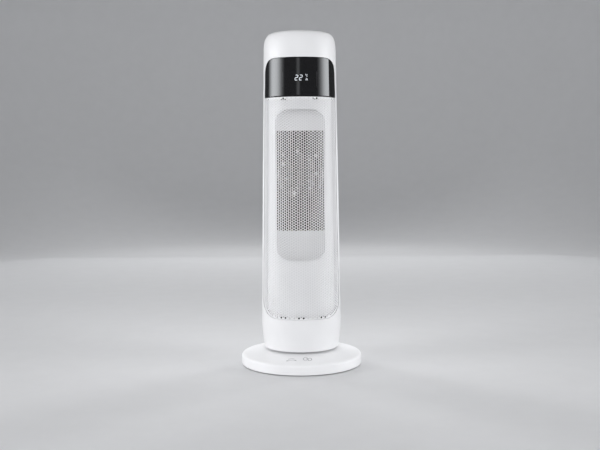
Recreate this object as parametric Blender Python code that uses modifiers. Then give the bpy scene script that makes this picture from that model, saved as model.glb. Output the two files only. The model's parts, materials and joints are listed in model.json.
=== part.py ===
"""Ceramic tower heater with an oscillating column on a round base.

Frame: metres, +Z up, origin on the floor at the centre of the base, the front of the heater faces -Y.
Bodies: the base stands still, and the tower turns on it about Z, driven by a pinion and a sector gear.
The fan, the power rocker and the tip-over plunger each move on their own axis.
"""

import math

import bmesh
import bpy
from mathutils import Matrix, Vector

MM = 0.001

# Driving dimensions
TOWER_TOP = 650 * MM
TOWER_BOTTOM = 35.5 * MM
BELLY_Z = 90 * MM
BELLY_RADIUS = 78.4 * MM
FOOT_OF_TOWER_RADIUS = 73 * MM
SHOULDER_Z = 600 * MM
SHOULDER_RADIUS = 70.4 * MM
DOME_EDGE_RADIUS = 46.5 * MM
DOME_EDGE_Z = 649.2 * MM
WALL = 2.5 * MM
GAP = 0.3 * MM
SPLIT_Y = 7 * MM
TOWER_SIDES = 40

BASE_RADIUS = 119 * MM
BASE_EDGE_ROUNDING = 6 * MM
BASE_SHOULDER_Z = 16 * MM
BASE_LAND_Z = 32 * MM
BASE_SIDES = 48
PLATE_LOW = 2.5 * MM
PLATE_HIGH = 4.5 * MM
FASTENER_RADIUS = 100 * MM

LENS_LOW = 523.3 * MM
LENS_HIGH = 597.2 * MM
LENS_SPREAD = 0.9525
LENS_CORNER = (23.6 * MM, 35 * MM, 0.8)
GRILLE_LOW = 99 * MM
GRILLE_SPREAD = 0.941
GRILLE_CORNER = (26 * MM, 30 * MM, 0.6)
GRILLE_EDGE_GAP = 0.45 * MM
BAFFLE_LOW = 93 * MM
BAFFLE_HIGH = 528 * MM
BAFFLE_SPREAD = 0.84
BAFFLE_CORNER = 24 * MM
FRONT_REACH = 110 * MM

SHELL_SCREWS = [(side * 60 * MM, z) for z in (70 * MM, 556 * MM) for side in (-1, 1)]
SCREW_HEAD_Y = 14 * MM
INTAKE_HALF_WIDTH = 45 * MM
INTAKE_LOW = 290 * MM
INTAKE_HIGH = 454 * MM
INTAKE_CORNER = 9 * MM
INTAKE_BAND = (280 * MM, 464 * MM)
SLOT_PITCH = 9 * MM
SLOT_HEIGHT = 4.5 * MM

WINDOW_HALF_WIDTH = 47 * MM
WINDOW_LOW = 267 * MM
WINDOW_HIGH = 460 * MM
HEATER_FRONT_Y = -40.5 * MM
CORE_FRONT_Y = -37.6 * MM
CORE_DEPTH = 16 * MM
SHROUD_BACK_Y = -9.5 * MM
FIN_BANKS = 5
FIN_WIDTH = 11.6 * MM
BAR_WIDTH = 8 * MM

FAN_AXIS_Y = 2 * MM
FAN_Z = 372 * MM
FAN_RADIUS = 44 * MM
FAN_BLADES = 7

GEAR_MODULE = 1 * MM
GEAR_TEETH = 72
SECTOR_TEETH = 21
PINION_TEETH = 12
PRESSURE_ANGLE = math.radians(20)
BACKLASH = 0.24 * MM
GEAR_LOW = 21 * MM
GEAR_HIGH = 25.7 * MM
PINION_Y = GEAR_MODULE * (GEAR_TEETH + PINION_TEETH) / 2

PLUNGER_PLACE = (79 * MM, 46 * MM)
ROCKER_PIVOT = (0, 75.6 * MM, 72 * MM)
ROCKER_REST_TILT = math.radians(8)

# Colour, roughness and metallic value of each finish
FINISHES = {
    "white_shell": ((0.86, 0.86, 0.88), 0.38, 0.0),
    "white_grille": ((0.84, 0.84, 0.86), 0.42, 0.0),
    "white_inner": ((0.74, 0.74, 0.76), 0.55, 0.0),
    "black_lens": ((0.012, 0.012, 0.014), 0.08, 0.0),
    "black_plastic": ((0.03, 0.03, 0.032), 0.45, 0.0),
    "grey_plastic": ((0.3, 0.3, 0.31), 0.5, 0.0),
    "fibre_duct": ((0.1, 0.1, 0.1), 0.6, 0.0),
    "natural_nylon": ((0.8, 0.78, 0.7), 0.45, 0.0),
    "circuit_board": ((0.04, 0.2, 0.09), 0.5, 0.0),
    "zinc_steel": ((0.6, 0.61, 0.63), 0.35, 1.0),
    "black_steel": ((0.05, 0.05, 0.05), 0.5, 0.6),
    "cast_iron": ((0.12, 0.12, 0.125), 0.7, 0.8),
    "aluminium": ((0.72, 0.73, 0.74), 0.35, 1.0),
    "ceramic": ((0.55, 0.5, 0.44), 0.6, 0.0),
    "rubber": ((0.05, 0.05, 0.05), 0.85, 0.0),
    "foam": ((0.1, 0.1, 0.105), 0.95, 0.0),
    "filter_mesh": ((0.2, 0.2, 0.21), 0.8, 0.0),
    "cable_jacket": ((0.15, 0.15, 0.16), 0.6, 0.0),
}


# Scene and object helpers


def start_scene():
    for old in list(bpy.data.objects):
        bpy.data.objects.remove(old, do_unlink=True)
    heater = bpy.data.collections.new("ceramic_tower_heater")
    helpers = bpy.data.collections.new("cutters")
    bpy.context.scene.collection.children.link(heater)
    bpy.context.scene.collection.children.link(helpers)
    helpers.hide_render = True
    return heater, helpers


HEATER, CUTTERS = start_scene()


def finish(thing, name):
    """Gives the object its own Principled material in one of the finishes."""
    colour, roughness, metallic = FINISHES[name]
    material = bpy.data.materials.new(thing.name)
    material.use_nodes = True
    shader = material.node_tree.nodes["Principled BSDF"]
    shader.inputs["Base Color"].default_value = (*colour, 1)
    shader.inputs["Roughness"].default_value = roughness
    shader.inputs["Metallic"].default_value = metallic
    thing.data.materials.clear()
    thing.data.materials.append(material)


def place(name, mesh, finish_name):
    """Links the mesh as a piece of the heater or, with no finish, as a hidden helper shape."""
    thing = bpy.data.objects.new(name, mesh)
    if finish_name:
        HEATER.objects.link(thing)
        finish(thing, finish_name)
    else:
        CUTTERS.objects.link(thing)
        thing.hide_render = True
        thing.display_type = "WIRE"
    return thing


def mesh_from(name, bm):
    """Ends the bmesh as a mesh whose faces point out, shaded smooth between its sharp edges."""
    bmesh.ops.recalc_face_normals(bm, faces=bm.faces)
    if bm.calc_volume(signed=True) < 0:
        bmesh.ops.reverse_faces(bm, faces=bm.faces)
    mesh = bpy.data.meshes.new(name)
    bm.to_mesh(mesh)
    bm.free()
    mesh.shade_smooth()
    mesh.set_sharp_from_angle(angle=math.radians(35))
    return mesh


def add_box(bm, low, high):
    low, high = Vector(low), Vector(high)
    size = high - low
    matrix = Matrix.Translation((low + high) / 2) @ Matrix.Diagonal((*size, 1))
    bmesh.ops.create_cube(bm, size=1, matrix=matrix)


def add_cylinder(bm, start, end, radius, sides=12):
    start, end = Vector(start), Vector(end)
    turn = (end - start).to_track_quat("Z", "Y").to_matrix().to_4x4()
    bmesh.ops.create_cone(
        bm,
        cap_ends=True,
        segments=sides,
        radius1=radius,
        radius2=radius,
        depth=(end - start).length,
        matrix=Matrix.Translation((start + end) / 2) @ turn,
    )


def boxes(name, corners, finish_name=None):
    bm = bmesh.new()
    for low, high in corners:
        add_box(bm, low, high)
    return place(name, mesh_from(name, bm), finish_name)


def rods(name, runs, finish_name=None, sides=12):
    """Round bars, each given as (start, end, radius)."""
    bm = bmesh.new()
    for start, end, radius in runs:
        add_cylinder(bm, start, end, radius, sides)
    return place(name, mesh_from(name, bm), finish_name)


def turned(name, profile, finish_name=None, sides=TOWER_SIDES, closed=True):
    """A turned piece: the profile's (radius, height) points run down its outer side."""
    count = len(profile)
    edges = [(i, (i + 1) % count) for i in range(count if closed else count - 1)]
    mesh = bpy.data.meshes.new(name)
    mesh.from_pydata([(radius, 0, height) for radius, height in profile], edges, [])
    thing = place(name, mesh, finish_name)
    screw = thing.modifiers.new("turn", "SCREW")
    screw.steps = screw.render_steps = sides
    screw.use_merge_vertices = True
    screw.merge_threshold = 0.00001
    return thing


def outlined(name, loops, thickness, finish_name=None, matrix=None):
    """A flat piece cut to its outline and holes, with half its thickness on each side of the plane."""
    curve = bpy.data.curves.new(name, "CURVE")
    curve.dimensions = "2D"
    curve.fill_mode = "BOTH"
    curve.extrude = thickness / 2
    for loop in loops:
        spline = curve.splines.new("POLY")
        spline.points.add(len(loop) - 1)
        spline.use_cyclic_u = True
        for point, (x, y) in zip(spline.points, loop):
            point.co = (x, y, 0, 1)
    return meshed(name, curve, finish_name, matrix)


def meshed(name, curve, finish_name, matrix=None):
    """Turns a curve into a closed mesh object."""
    guide = bpy.data.objects.new(name + "_curve", curve)
    CUTTERS.objects.link(guide)
    graph = bpy.context.evaluated_depsgraph_get()
    raw = bpy.data.meshes.new_from_object(guide.evaluated_get(graph))
    bm = bmesh.new()
    bm.from_mesh(raw)
    bmesh.ops.remove_doubles(bm, verts=bm.verts, dist=0.00001)
    if matrix is not None:
        bmesh.ops.transform(bm, matrix=matrix, verts=bm.verts)
    bpy.data.objects.remove(guide)
    bpy.data.meshes.remove(raw)
    return place(name, mesh_from(name, bm), finish_name)


def change(thing, operation, *others):
    for other in others:
        boolean = thing.modifiers.new(other.name, "BOOLEAN")
        boolean.operation = operation
        boolean.object = other
    return thing


def cut(thing, *others):
    return change(thing, "DIFFERENCE", *others)


def keep_inside(thing, *others):
    return change(thing, "INTERSECT", *others)


def join(thing, *others):
    return change(thing, "UNION", *others)


def facing_y(centre_y):
    """Stands a flat outline drawn in X and Y up in the XZ plane at this depth."""
    return Matrix.Translation((0, centre_y, 0)) @ Matrix.Rotation(math.radians(90), 4, "X")


def circle(radius, centre=(0, 0), points=16):
    steps = [2 * math.pi * i / points for i in range(points)]
    return [(centre[0] + radius * math.cos(a), centre[1] + radius * math.sin(a)) for a in steps]


def on_circle(radius, degrees):
    return radius * math.cos(math.radians(degrees)), radius * math.sin(math.radians(degrees))


def bezier(p0, p1, p2, p3, t):
    weights = ((1 - t) ** 3, 3 * t * (1 - t) ** 2, 3 * t * t * (1 - t), t**3)
    return tuple(sum(w * p[i] for w, p in zip(weights, (p0, p1, p2, p3))) for i in range(2))


# Outer form of the tower


def tower_radius(z):
    """Radius of the tower below its dome: it narrows upwards from its belly, and tucks in below it."""
    if z < BELLY_Z:
        drop = (BELLY_Z - z) / (BELLY_Z - TOWER_BOTTOM)
        return BELLY_RADIUS - (BELLY_RADIUS - FOOT_OF_TOWER_RADIUS) * drop**2
    rise = (z - BELLY_Z) / (SHOULDER_Z - BELLY_Z)
    return BELLY_RADIUS + (SHOULDER_RADIUS - BELLY_RADIUS) * rise


def dome_profile(inset):
    """Dome points from the crown down to the shoulder, moved inwards by the inset."""
    top = [(0, TOWER_TOP), (DOME_EDGE_RADIUS / 2, (TOWER_TOP + DOME_EDGE_Z) / 2 + 0.2 * MM)]
    start = (DOME_EDGE_RADIUS, DOME_EDGE_Z)
    bend = (SHOULDER_RADIUS - 2.1 * MM, DOME_EDGE_Z)
    side = (SHOULDER_RADIUS, 635.8 * MM)
    end = (SHOULDER_RADIUS, SHOULDER_Z)
    points = top + [bezier(start, bend, side, end, i / 7) for i in range(8)]
    moved = []
    for i, (radius, z) in enumerate(points):
        before, after = points[max(i - 1, 0)], points[min(i + 1, len(points) - 1)]
        along = Vector((after[0] - before[0], after[1] - before[1])).normalized()
        if i in (0, len(points) - 1):
            along = Vector((1, 0)) if i == 0 else Vector((0, -1))
        moved.append((radius + along.y * inset, z - along.x * inset))
    return moved


def column(heights, inset):
    return [(tower_radius(z) - inset, z) for z in heights]


def band(name, low, high, outer_inset, inner_inset, finish_name):
    """A full ring that follows the tower's surface between two heights."""
    heights = [z for z in (high, BELLY_Z, low) if low <= z <= high]
    profile = column(heights, outer_inset) + column(reversed(heights), inner_inset)
    return turned(name, profile, finish_name)


def rounded_panel(low, high, spread, shrink, low_corner, high_corner):
    """Outline in X and Z of a panel whose sides follow the tower's taper, with soft corners.

    A corner is (width, height, fullness), or None where the panel ends square.
    """
    low, high = low + shrink, high - shrink
    half_low = spread * tower_radius(low) - shrink
    half_high = spread * tower_radius(high) - shrink
    right = []
    for z, half, direction, corner in ((low, half_low, 1, low_corner), (high, half_high, -1, high_corner)):
        if corner is None:
            right.append([(half, z)])
            continue
        width, height, fullness = corner
        flat, side, sharp = (half - width, z), (half, z + direction * height), (half, z)
        near_flat = tuple(a + fullness * (b - a) for a, b in zip(flat, sharp))
        near_side = tuple(a + fullness * (b - a) for a, b in zip(side, sharp))
        right.append([bezier(flat, near_flat, near_side, side, i / 6) for i in range(7)])
    points = right[0] + right[1][::-1]
    return points + [(-x, z) for x, z in reversed(points)]


def rounded_rectangle(half, low, high, corner, steps):
    """Outline in X and Z of a rectangle with round corners, centred on X."""
    middle = (low + high) / 2
    loop = []
    for x, z, first in ((half, high, 0), (-half, high, 90), (-half, low, 180), (half, low, 270)):
        centre = (x - math.copysign(corner, x), z - math.copysign(corner, z - middle))
        for i in range(steps + 1):
            dx, dz = on_circle(corner, first + 90 * i / steps)
            loop.append((centre[0] + dx, centre[1] + dz))
    return loop


def front_prism(name, outline):
    """A helper block with this outline that reaches from the tower's axis out past its front."""
    return outlined(name, [outline], FRONT_REACH, None, facing_y(-FRONT_REACH / 2))


def lens_outline(shrink):
    return rounded_panel(LENS_LOW, LENS_HIGH, LENS_SPREAD, shrink, None, LENS_CORNER)


def grille_outline(shrink):
    return rounded_panel(GRILLE_LOW, LENS_LOW, GRILLE_SPREAD, shrink, GRILLE_CORNER, None)


# Base


def base_cover():
    """Domed cover with a rounded edge, a bearing groove on top and three screw bosses inside."""
    tilt = math.radians(14)
    arc_centre = (BASE_RADIUS - BASE_EDGE_ROUNDING, BASE_SHOULDER_Z)
    arc = []
    for i in range(5):
        angle = math.radians(90) - tilt - (math.radians(90) - tilt) * i / 4
        arc.append(
            (
                arc_centre[0] + BASE_EDGE_ROUNDING * math.cos(angle),
                arc_centre[1] + BASE_EDGE_ROUNDING * math.sin(angle),
            )
        )
    inner_arc = [(r - WALL * math.cos(math.radians(90 * i / 4)), z) for i, (r, z) in enumerate(arc)]
    profile = [
        (20.6 * MM, BASE_LAND_Z),
        (35.6 * MM, BASE_LAND_Z),
        (35.6 * MM, BASE_LAND_Z - 1.6 * MM),
        (52.4 * MM, BASE_LAND_Z - 1.6 * MM),
        (52.4 * MM, BASE_LAND_Z),
        (60 * MM, BASE_LAND_Z),
        (76 * MM, 31 * MM),
        *arc,
        (BASE_RADIUS, 3 * MM),
        (BASE_RADIUS - 1.2 * MM, 1.5 * MM),
        (BASE_RADIUS - WALL, 1.5 * MM),
        (BASE_RADIUS - WALL, BASE_SHOULDER_Z),
        (inner_arc[0][0], arc[0][1] - WALL),
        (76 * MM, 31 * MM - WALL),
        (58 * MM, BASE_LAND_Z - 4.1 * MM),
        (20.6 * MM, BASE_LAND_Z - 4.1 * MM),
    ]
    cover = turned("base_cover", profile, "white_shell", BASE_SIDES)
    bosses, bores = [], []
    for degrees in (90, 210, 330):
        x, y = on_circle(FASTENER_RADIUS, degrees)
        bosses.append(((x, y, PLATE_HIGH + GAP), (x, y, 23.5 * MM), 4 * MM))
        bores.append(((x, y, PLATE_HIGH - 1 * MM), (x, y, 16 * MM), 1.7 * MM))
    outlet = [((0, 108 * MM, 11 * MM), (0, 125 * MM, 11 * MM), 5 * MM)]
    join(cover, rods("base_bosses", bosses))
    return cut(cover, rods("base_bores", bores), rods("cord_outlet", outlet, None, 16))


def base_plate():
    """Steel bottom plate with holes for the feet, the screws and the tip-over plunger."""
    loops = [circle(BASE_RADIUS - WALL - 0.5 * MM, (0, 0), BASE_SIDES)]
    loops += [circle(2.4 * MM, on_circle(FASTENER_RADIUS, a), 10) for a in (45, 135, 225, 315)]
    loops += [circle(2 * MM, on_circle(FASTENER_RADIUS, a), 10) for a in (90, 210, 330)]
    loops.append(circle(3.2 * MM, PLUNGER_PLACE, 12))
    middle = Matrix.Translation((0, 0, (PLATE_LOW + PLATE_HIGH) / 2))
    return outlined("base_plate", loops, PLATE_HIGH - PLATE_LOW, "zinc_steel", middle)


def feet():
    """Rubber feet, each pushed through the plate and held by its barb."""
    profile = [
        (0, 7.4 * MM),
        (1.4 * MM, 7.4 * MM),
        (2.9 * MM, PLATE_HIGH + GAP),
        (1.9 * MM, PLATE_HIGH + GAP),
        (1.9 * MM, PLATE_LOW - GAP),
        (7.5 * MM, PLATE_LOW - GAP),
        (6.8 * MM, 0),
        (0, 0),
    ]
    for number, degrees in enumerate((45, 135, 225, 315), 1):
        foot = turned(f"foot_{number}", profile, "rubber", 12, closed=False)
        foot.location = (*on_circle(FASTENER_RADIUS, degrees), 0)


def screw(name, head_radius, head_height, radius, length, tip, matrix):
    """A pan-head screw: its head is above the origin and its shank runs down from it."""
    profile = [
        (0, head_height),
        (head_radius * 0.7, head_height),
        (head_radius, head_height * 0.45),
        (head_radius, 0),
        (radius, 0),
        (radius, tip - length),
        (0, -length),
    ]
    fastener = turned(name, profile, "zinc_steel", 8, closed=False)
    fastener.matrix_world = matrix


def base_screws():
    upside_down = Matrix.Rotation(math.pi, 4, "X")
    for number, degrees in enumerate((90, 210, 330), 1):
        spot = Matrix.Translation((*on_circle(FASTENER_RADIUS, degrees), PLATE_LOW - GAP))
        screw(f"base_screw_{number}", 3 * MM, 1.5 * MM, 1.3 * MM, 11 * MM, 2 * MM, spot @ upside_down)


def base_insides():
    turned(
        "bearing_ring",
        [
            (52 * MM, TOWER_BOTTOM - GAP),
            (52 * MM, BASE_LAND_Z - 1.6 * MM + GAP),
            (36 * MM, BASE_LAND_Z - 1.6 * MM + GAP),
            (36 * MM, TOWER_BOTTOM - GAP),
        ],
        "natural_nylon",
    )
    turned(
        "ballast_ring",
        [(77 * MM, 17 * MM), (77 * MM, 5 * MM), (62 * MM, 5 * MM), (62 * MM, 17 * MM)],
        "cast_iron",
    )
    motor = turned(
        "oscillation_motor",
        [
            (0, 18.7 * MM),
            (4.5 * MM, 18.7 * MM),
            (4.5 * MM, 17.2 * MM),
            (17.5 * MM, 17.2 * MM),
            (17.5 * MM, 5 * MM),
            (0, 5 * MM),
        ],
        "zinc_steel",
        24,
        closed=False,
    )
    motor.location = (0, PINION_Y, 0)
    touch_board = ((-26 * MM, -104 * MM, 12 * MM), (26 * MM, -79 * MM, 13.6 * MM))
    boxes("touch_board", [touch_board], "circuit_board")
    for x, name in ((-19 * MM, "touch_pad_left"), (11.5 * MM, "touch_pad_right")):
        y = -90 * MM
        rods(name, [((x, y, 13.9 * MM), (x, y, 22.4 * MM), 5.5 * MM)], "foam", 14)
    gland = turned(
        "cord_gland",
        [
            (4.6 * MM, 9 * MM),
            (4.6 * MM, 0),
            (6.2 * MM, 0),
            (6.2 * MM, -3 * MM),
            (3.4 * MM, -3 * MM),
            (3.4 * MM, 9 * MM),
        ],
        "rubber",
        16,
    )
    gland.location = (0, 109.6 * MM, 11 * MM)
    gland.rotation_euler = (math.radians(-90), 0, 0)


def tip_switch():
    """Switch body over the plate, with a sprung plunger that reaches down to the floor."""
    x, y = PLUNGER_PLACE
    half = 8 * MM
    body = boxes(
        "tip_switch_body",
        [((x - half, y - half, PLATE_HIGH + GAP), (x + half, y + half, 19 * MM))],
        "black_plastic",
    )
    cut(body, rods("tip_switch_bore", [((x, y, 0), (x, y, 16.5 * MM), 4.4 * MM)], None, 12))
    plunger = turned(
        "tip_plunger",
        [
            (0, 12 * MM),
            (2 * MM, 12 * MM),
            (2 * MM, 10.4 * MM),
            (3.8 * MM, 10.4 * MM),
            (3.8 * MM, 9.2 * MM),
            (2.6 * MM, 9.2 * MM),
            (2.6 * MM, 1 * MM),
            (1.6 * MM, 0),
            (0, 0),
        ],
        "natural_nylon",
        12,
        closed=False,
    )
    plunger.location = (x, y, 0)


# Oscillation drive


def involute(angle):
    return math.tan(angle) - angle


def tooth(teeth, centre):
    """Involute outline of one tooth, anticlockwise from root to root, about its centre angle."""
    pitch = GEAR_MODULE * teeth / 2
    base = pitch * math.cos(PRESSURE_ANGLE)
    half_at_pitch = (math.pi * GEAR_MODULE / 2 - BACKLASH) / (2 * pitch)
    flank = []
    for radius in (pitch - 1.25 * GEAR_MODULE, pitch - 0.5 * GEAR_MODULE, pitch, pitch + 0.9 * GEAR_MODULE):
        rolled = math.acos(base / max(radius, base))
        flank.append((radius, half_at_pitch + involute(PRESSURE_ANGLE) - involute(rolled)))
    right = [(radius, centre - half) for radius, half in flank]
    left = [(radius, centre + half) for radius, half in reversed(flank)]
    return [(r * math.cos(a), r * math.sin(a)) for r, a in right + left]


def sector_gear():
    """Sector screwed under the tower's spindle, in mesh with the motor's pinion behind it."""
    pitch = 2 * math.pi / GEAR_TEETH
    spread = (SECTOR_TEETH // 2 + 0.8) * pitch
    behind = math.pi / 2
    loop = []
    for number in range(SECTOR_TEETH):
        loop += tooth(GEAR_TEETH, behind + (number - SECTOR_TEETH // 2) * pitch)
    for i in range(19):
        angle = behind + spread + (2 * math.pi - 2 * spread) * i / 18
        loop.append((27 * MM * math.cos(angle), 27 * MM * math.sin(angle)))
    holes = [circle(12 * MM, (0, 0), 20)]
    holes += [circle(1.7 * MM, on_circle(17.5 * MM, a), 8) for a in (30, 150, 270)]
    middle = Matrix.Translation((0, 0, (GEAR_LOW + GEAR_HIGH) / 2))
    outlined("sector_gear", [loop, *holes], GEAR_HIGH - GEAR_LOW, "natural_nylon", middle)
    upside_down = Matrix.Rotation(math.pi, 4, "X")
    for number, degrees in enumerate((30, 150, 270), 1):
        spot = Matrix.Translation((*on_circle(17.5 * MM, degrees), GEAR_LOW - GAP))
        screw(f"gear_screw_{number}", 2.6 * MM, 1.4 * MM, 1.1 * MM, 11 * MM, 1.5 * MM, spot @ upside_down)


def pinion():
    """Twelve-tooth pinion with its motor shaft, one tooth gap facing the sector gear."""
    pitch = 2 * math.pi / PINION_TEETH
    loop = []
    for number in range(PINION_TEETH):
        loop += tooth(PINION_TEETH, -math.pi / 2 + (number + 0.5) * pitch)
    wheel = outlined("oscillation_pinion", [loop], GEAR_HIGH - GEAR_LOW, "natural_nylon")
    wheel.location = (0, PINION_Y, (GEAR_LOW + GEAR_HIGH) / 2)
    shaft = rods("pinion_shaft", [((0, 0, 19 * MM), (0, 0, GEAR_LOW + 1 * MM), 1.5 * MM)], None, 12)
    shaft.location = (0, PINION_Y, 0)
    join(wheel, shaft)


def turntable():
    """Bottom plate of the tower, with the hollow spindle that passes through the base cover."""
    plate_radius = 69.6 * MM
    profile = [
        (15 * MM, 38 * MM),
        (plate_radius, 38 * MM),
        (plate_radius, TOWER_BOTTOM),
        (20 * MM, TOWER_BOTTOM),
        (20 * MM, GEAR_HIGH + GAP),
        (15 * MM, GEAR_HIGH + GAP),
    ]
    plate = turned("turntable", profile, "white_inner")
    bores = []
    for degrees in (30, 150, 270):
        x, y = on_circle(17.5 * MM, degrees)
        bores.append(((x, y, 24 * MM), (x, y, 34 * MM), 1.5 * MM))
    cut(plate, rods("spindle_bores", bores, None, 8))


# Tower shells

def whole_shell(name, finish_name):
    heights = [SHOULDER_Z, BELLY_Z, 76 * MM, 62 * MM, 49 * MM, TOWER_BOTTOM]
    flange_low, flange_high = 38.3 * MM, 40.8 * MM
    outer = dome_profile(0)[:-1] + column(heights, 0)
    rim = [
        (tower_radius(TOWER_BOTTOM) - WALL, TOWER_BOTTOM),
        (tower_radius(flange_low) - WALL, flange_low),
        (62 * MM, flange_low),
        (62 * MM, flange_high),
        (tower_radius(flange_high) - WALL, flange_high),
    ]
    inner = column(reversed(heights[:-1]), WALL) + dome_profile(WALL)[:-1][::-1]
    return turned(name, outer + rim + inner, finish_name, closed=False)


def tower_core(name):
    """Helper solid that ends inside the shell's wall, so that nothing joined to the shell shows outside."""
    inset = 1.2 * MM
    heights = [SHOULDER_Z, BELLY_Z, 76 * MM, 62 * MM, 49 * MM, TOWER_BOTTOM]
    profile = dome_profile(inset)[:-1] + column(heights, inset) + [(0, TOWER_BOTTOM)]
    return turned(name, profile, closed=False)


def front_shell():
    """Front half of the column with its dome, open for the lens and the grille, with four screw bosses."""
    shell = whole_shell("front_shell", "white_shell")
    bosses, ribs, bores = [], [], []
    for x, z in SHELL_SCREWS:
        bosses.append(((x, -12 * MM, z), (x, SPLIT_Y - GAP, z), 4.2 * MM))
        bores.append(((x, -9 * MM, z), (x, SPLIT_Y + 1 * MM, z), 1.5 * MM))
        low_x, high_x = sorted((x * 1.03, x * 1.4))
        ribs.append(((low_x, -12 * MM, z - 1.2 * MM), (high_x, SPLIT_Y - 1 * MM, z + 1.2 * MM)))
    bosses = join(rods("front_bosses", bosses), boxes("front_ribs", ribs))
    keep_inside(bosses, tower_core("front_core"))
    reach = 100 * MM
    half = boxes("front_half", [((-reach, -reach, 0), (reach, SPLIT_Y - GAP / 2, TOWER_TOP + reach))])
    keep_inside(shell, half)
    join(shell, bosses)
    cut(shell, rods("front_bores", bores, None, 8))
    cut(shell, front_prism("lens_opening", lens_outline(0)))
    return cut(shell, front_prism("grille_opening", grille_outline(-GAP / 2)))


def rear_shell():
    """Rear half of the column, with deep screw wells, an intake opening and the switch cut-out."""
    shell = whole_shell("rear_shell", "white_shell")
    wells, wide_bores, thin_bores = [], [], []
    for x, z in SHELL_SCREWS:
        wells.append(((x, SPLIT_Y + GAP, z), (x, 90 * MM, z), 5.2 * MM))
        wide_bores.append(((x, SCREW_HEAD_Y - GAP, z), (x, 95 * MM, z), 3.6 * MM))
        thin_bores.append(((x, SPLIT_Y - 1 * MM, z), (x, SCREW_HEAD_Y + 1 * MM, z), 1.8 * MM))
    posts = []
    for x in (-30 * MM, 30 * MM):
        for z in (135 * MM, 225 * MM):
            posts.append(((x, 22 * MM, z), (x, 90 * MM, z), 3.5 * MM))
    reach = 100 * MM
    half = boxes("rear_half", [((-reach, SPLIT_Y + GAP / 2, 0), (reach, reach, TOWER_TOP + reach))])
    keep_inside(shell, half)
    inner = join(rods("rear_wells", wells), rods("board_posts", posts, None, 8))
    join(shell, keep_inside(inner, tower_core("rear_core")))
    cut(shell, rods("rear_wide_bores", wide_bores), rods("rear_thin_bores", thin_bores, None, 8))
    cut(shell, intake_prism("intake_opening", 0))
    z = ROCKER_PIVOT[2]
    opening = ((-10.3 * MM, 60 * MM, z - 7.8 * MM), (10.3 * MM, 90 * MM, z + 7.8 * MM))
    return cut(shell, boxes("switch_opening", [opening]))


def shell_screws():
    backwards = Matrix.Rotation(math.radians(-90), 4, "X")
    for number, (x, z) in enumerate(SHELL_SCREWS, 1):
        spot = Matrix.Translation((x, SCREW_HEAD_Y, z))
        screw(f"shell_screw_{number}", 3 * MM, 2 * MM, 1.2 * MM, 18 * MM, 2 * MM, spot @ backwards)


def intake_prism(name, shrink):
    """Helper block behind the tower in the intake's rounded outline."""
    half, low, high = INTAKE_HALF_WIDTH - shrink, INTAKE_LOW + shrink, INTAKE_HIGH - shrink
    loop = rounded_rectangle(half, low, high, INTAKE_CORNER, 3)
    return outlined(name, [loop], 90 * MM, None, facing_y(60 * MM))


def intake():
    """Clip-in intake grille at the back, and the dust filter behind it."""
    grille = band("intake_grille", *INTAKE_BAND, GAP, WALL - GAP, "white_shell")
    keep_inside(grille, intake_prism("intake_edge", GAP))
    slots = []
    count = int((INTAKE_HIGH - INTAKE_LOW - 14 * MM) / SLOT_PITCH) + 1
    first = (INTAKE_LOW + INTAKE_HIGH) / 2 - (count - 1) / 2 * SLOT_PITCH
    for row in range(count):
        z = first + row * SLOT_PITCH
        for low_x, high_x in ((-38 * MM, -2 * MM), (2 * MM, 38 * MM)):
            slots.append(((low_x, 40 * MM, z - SLOT_HEIGHT / 2), (high_x, 90 * MM, z + SLOT_HEIGHT / 2)))
    cut(grille, boxes("intake_slots", slots))
    filter_sheet = band("dust_filter", *INTAKE_BAND, WALL + GAP, WALL + 2 * MM, "filter_mesh")
    keep_inside(filter_sheet, intake_prism("filter_edge", 2 * MM))


# Front of the tower


def display():
    lens = band("display_lens", 500 * MM, SHOULDER_Z, 0, 2 * MM, "black_lens")
    keep_inside(lens, front_prism("lens_edge", lens_outline(GAP)))
    housing = band("display_housing", 518 * MM, SHOULDER_Z, WALL + GAP, WALL + 1.8 * MM, "black_plastic")
    reach = 90 * MM
    front = boxes("housing_front", [((-reach, -reach, 500 * MM), (reach, -15 * MM, 620 * MM))])
    keep_inside(housing, front)
    cut(housing, boxes("led_window", [((-14 * MM, -90 * MM, 547 * MM), (14 * MM, -40 * MM, 567 * MM))]))
    board_y = -55.5 * MM
    boxes(
        "display_board",
        [((-33 * MM, board_y, 532 * MM), (33 * MM, board_y + 1.6 * MM, 586 * MM))],
        "circuit_board",
    )
    front = board_y - GAP
    digits = ((-12 * MM, front - 7 * MM, 549 * MM), (12 * MM, front, 565 * MM))
    boxes("led_module", [digits], "black_plastic")
    receiver = ((20 * MM, front - 4 * MM, 553 * MM), (26 * MM, front, 561 * MM))
    boxes("ir_receiver", [receiver], "black_lens")


def front_grille():
    """Curved sheet of the outlet grille. Its perforation is finer than this solid."""
    sheet = band("front_grille", 90 * MM, LENS_LOW + 5 * MM, 0.8 * MM, 2 * MM, "white_grille")
    keep_inside(sheet, front_prism("grille_edge", grille_outline(GRILLE_EDGE_GAP)))


def air_baffle():
    """White sheet close behind the grille, open in front of the heater."""
    sheet = band("air_baffle", BAFFLE_LOW - 3 * MM, BAFFLE_HIGH + 2 * MM, 6.5 * MM, 8 * MM, "white_inner")
    front = rounded_panel(BAFFLE_LOW, BAFFLE_HIGH, BAFFLE_SPREAD, 0, None, None)
    keep_inside(sheet, front_prism("baffle_edge", front))
    loop = rounded_rectangle(WINDOW_HALF_WIDTH, 212 * MM, 500 * MM, BAFFLE_CORNER, 4)
    cut(sheet, front_prism("baffle_opening", loop))


# Heater


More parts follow.
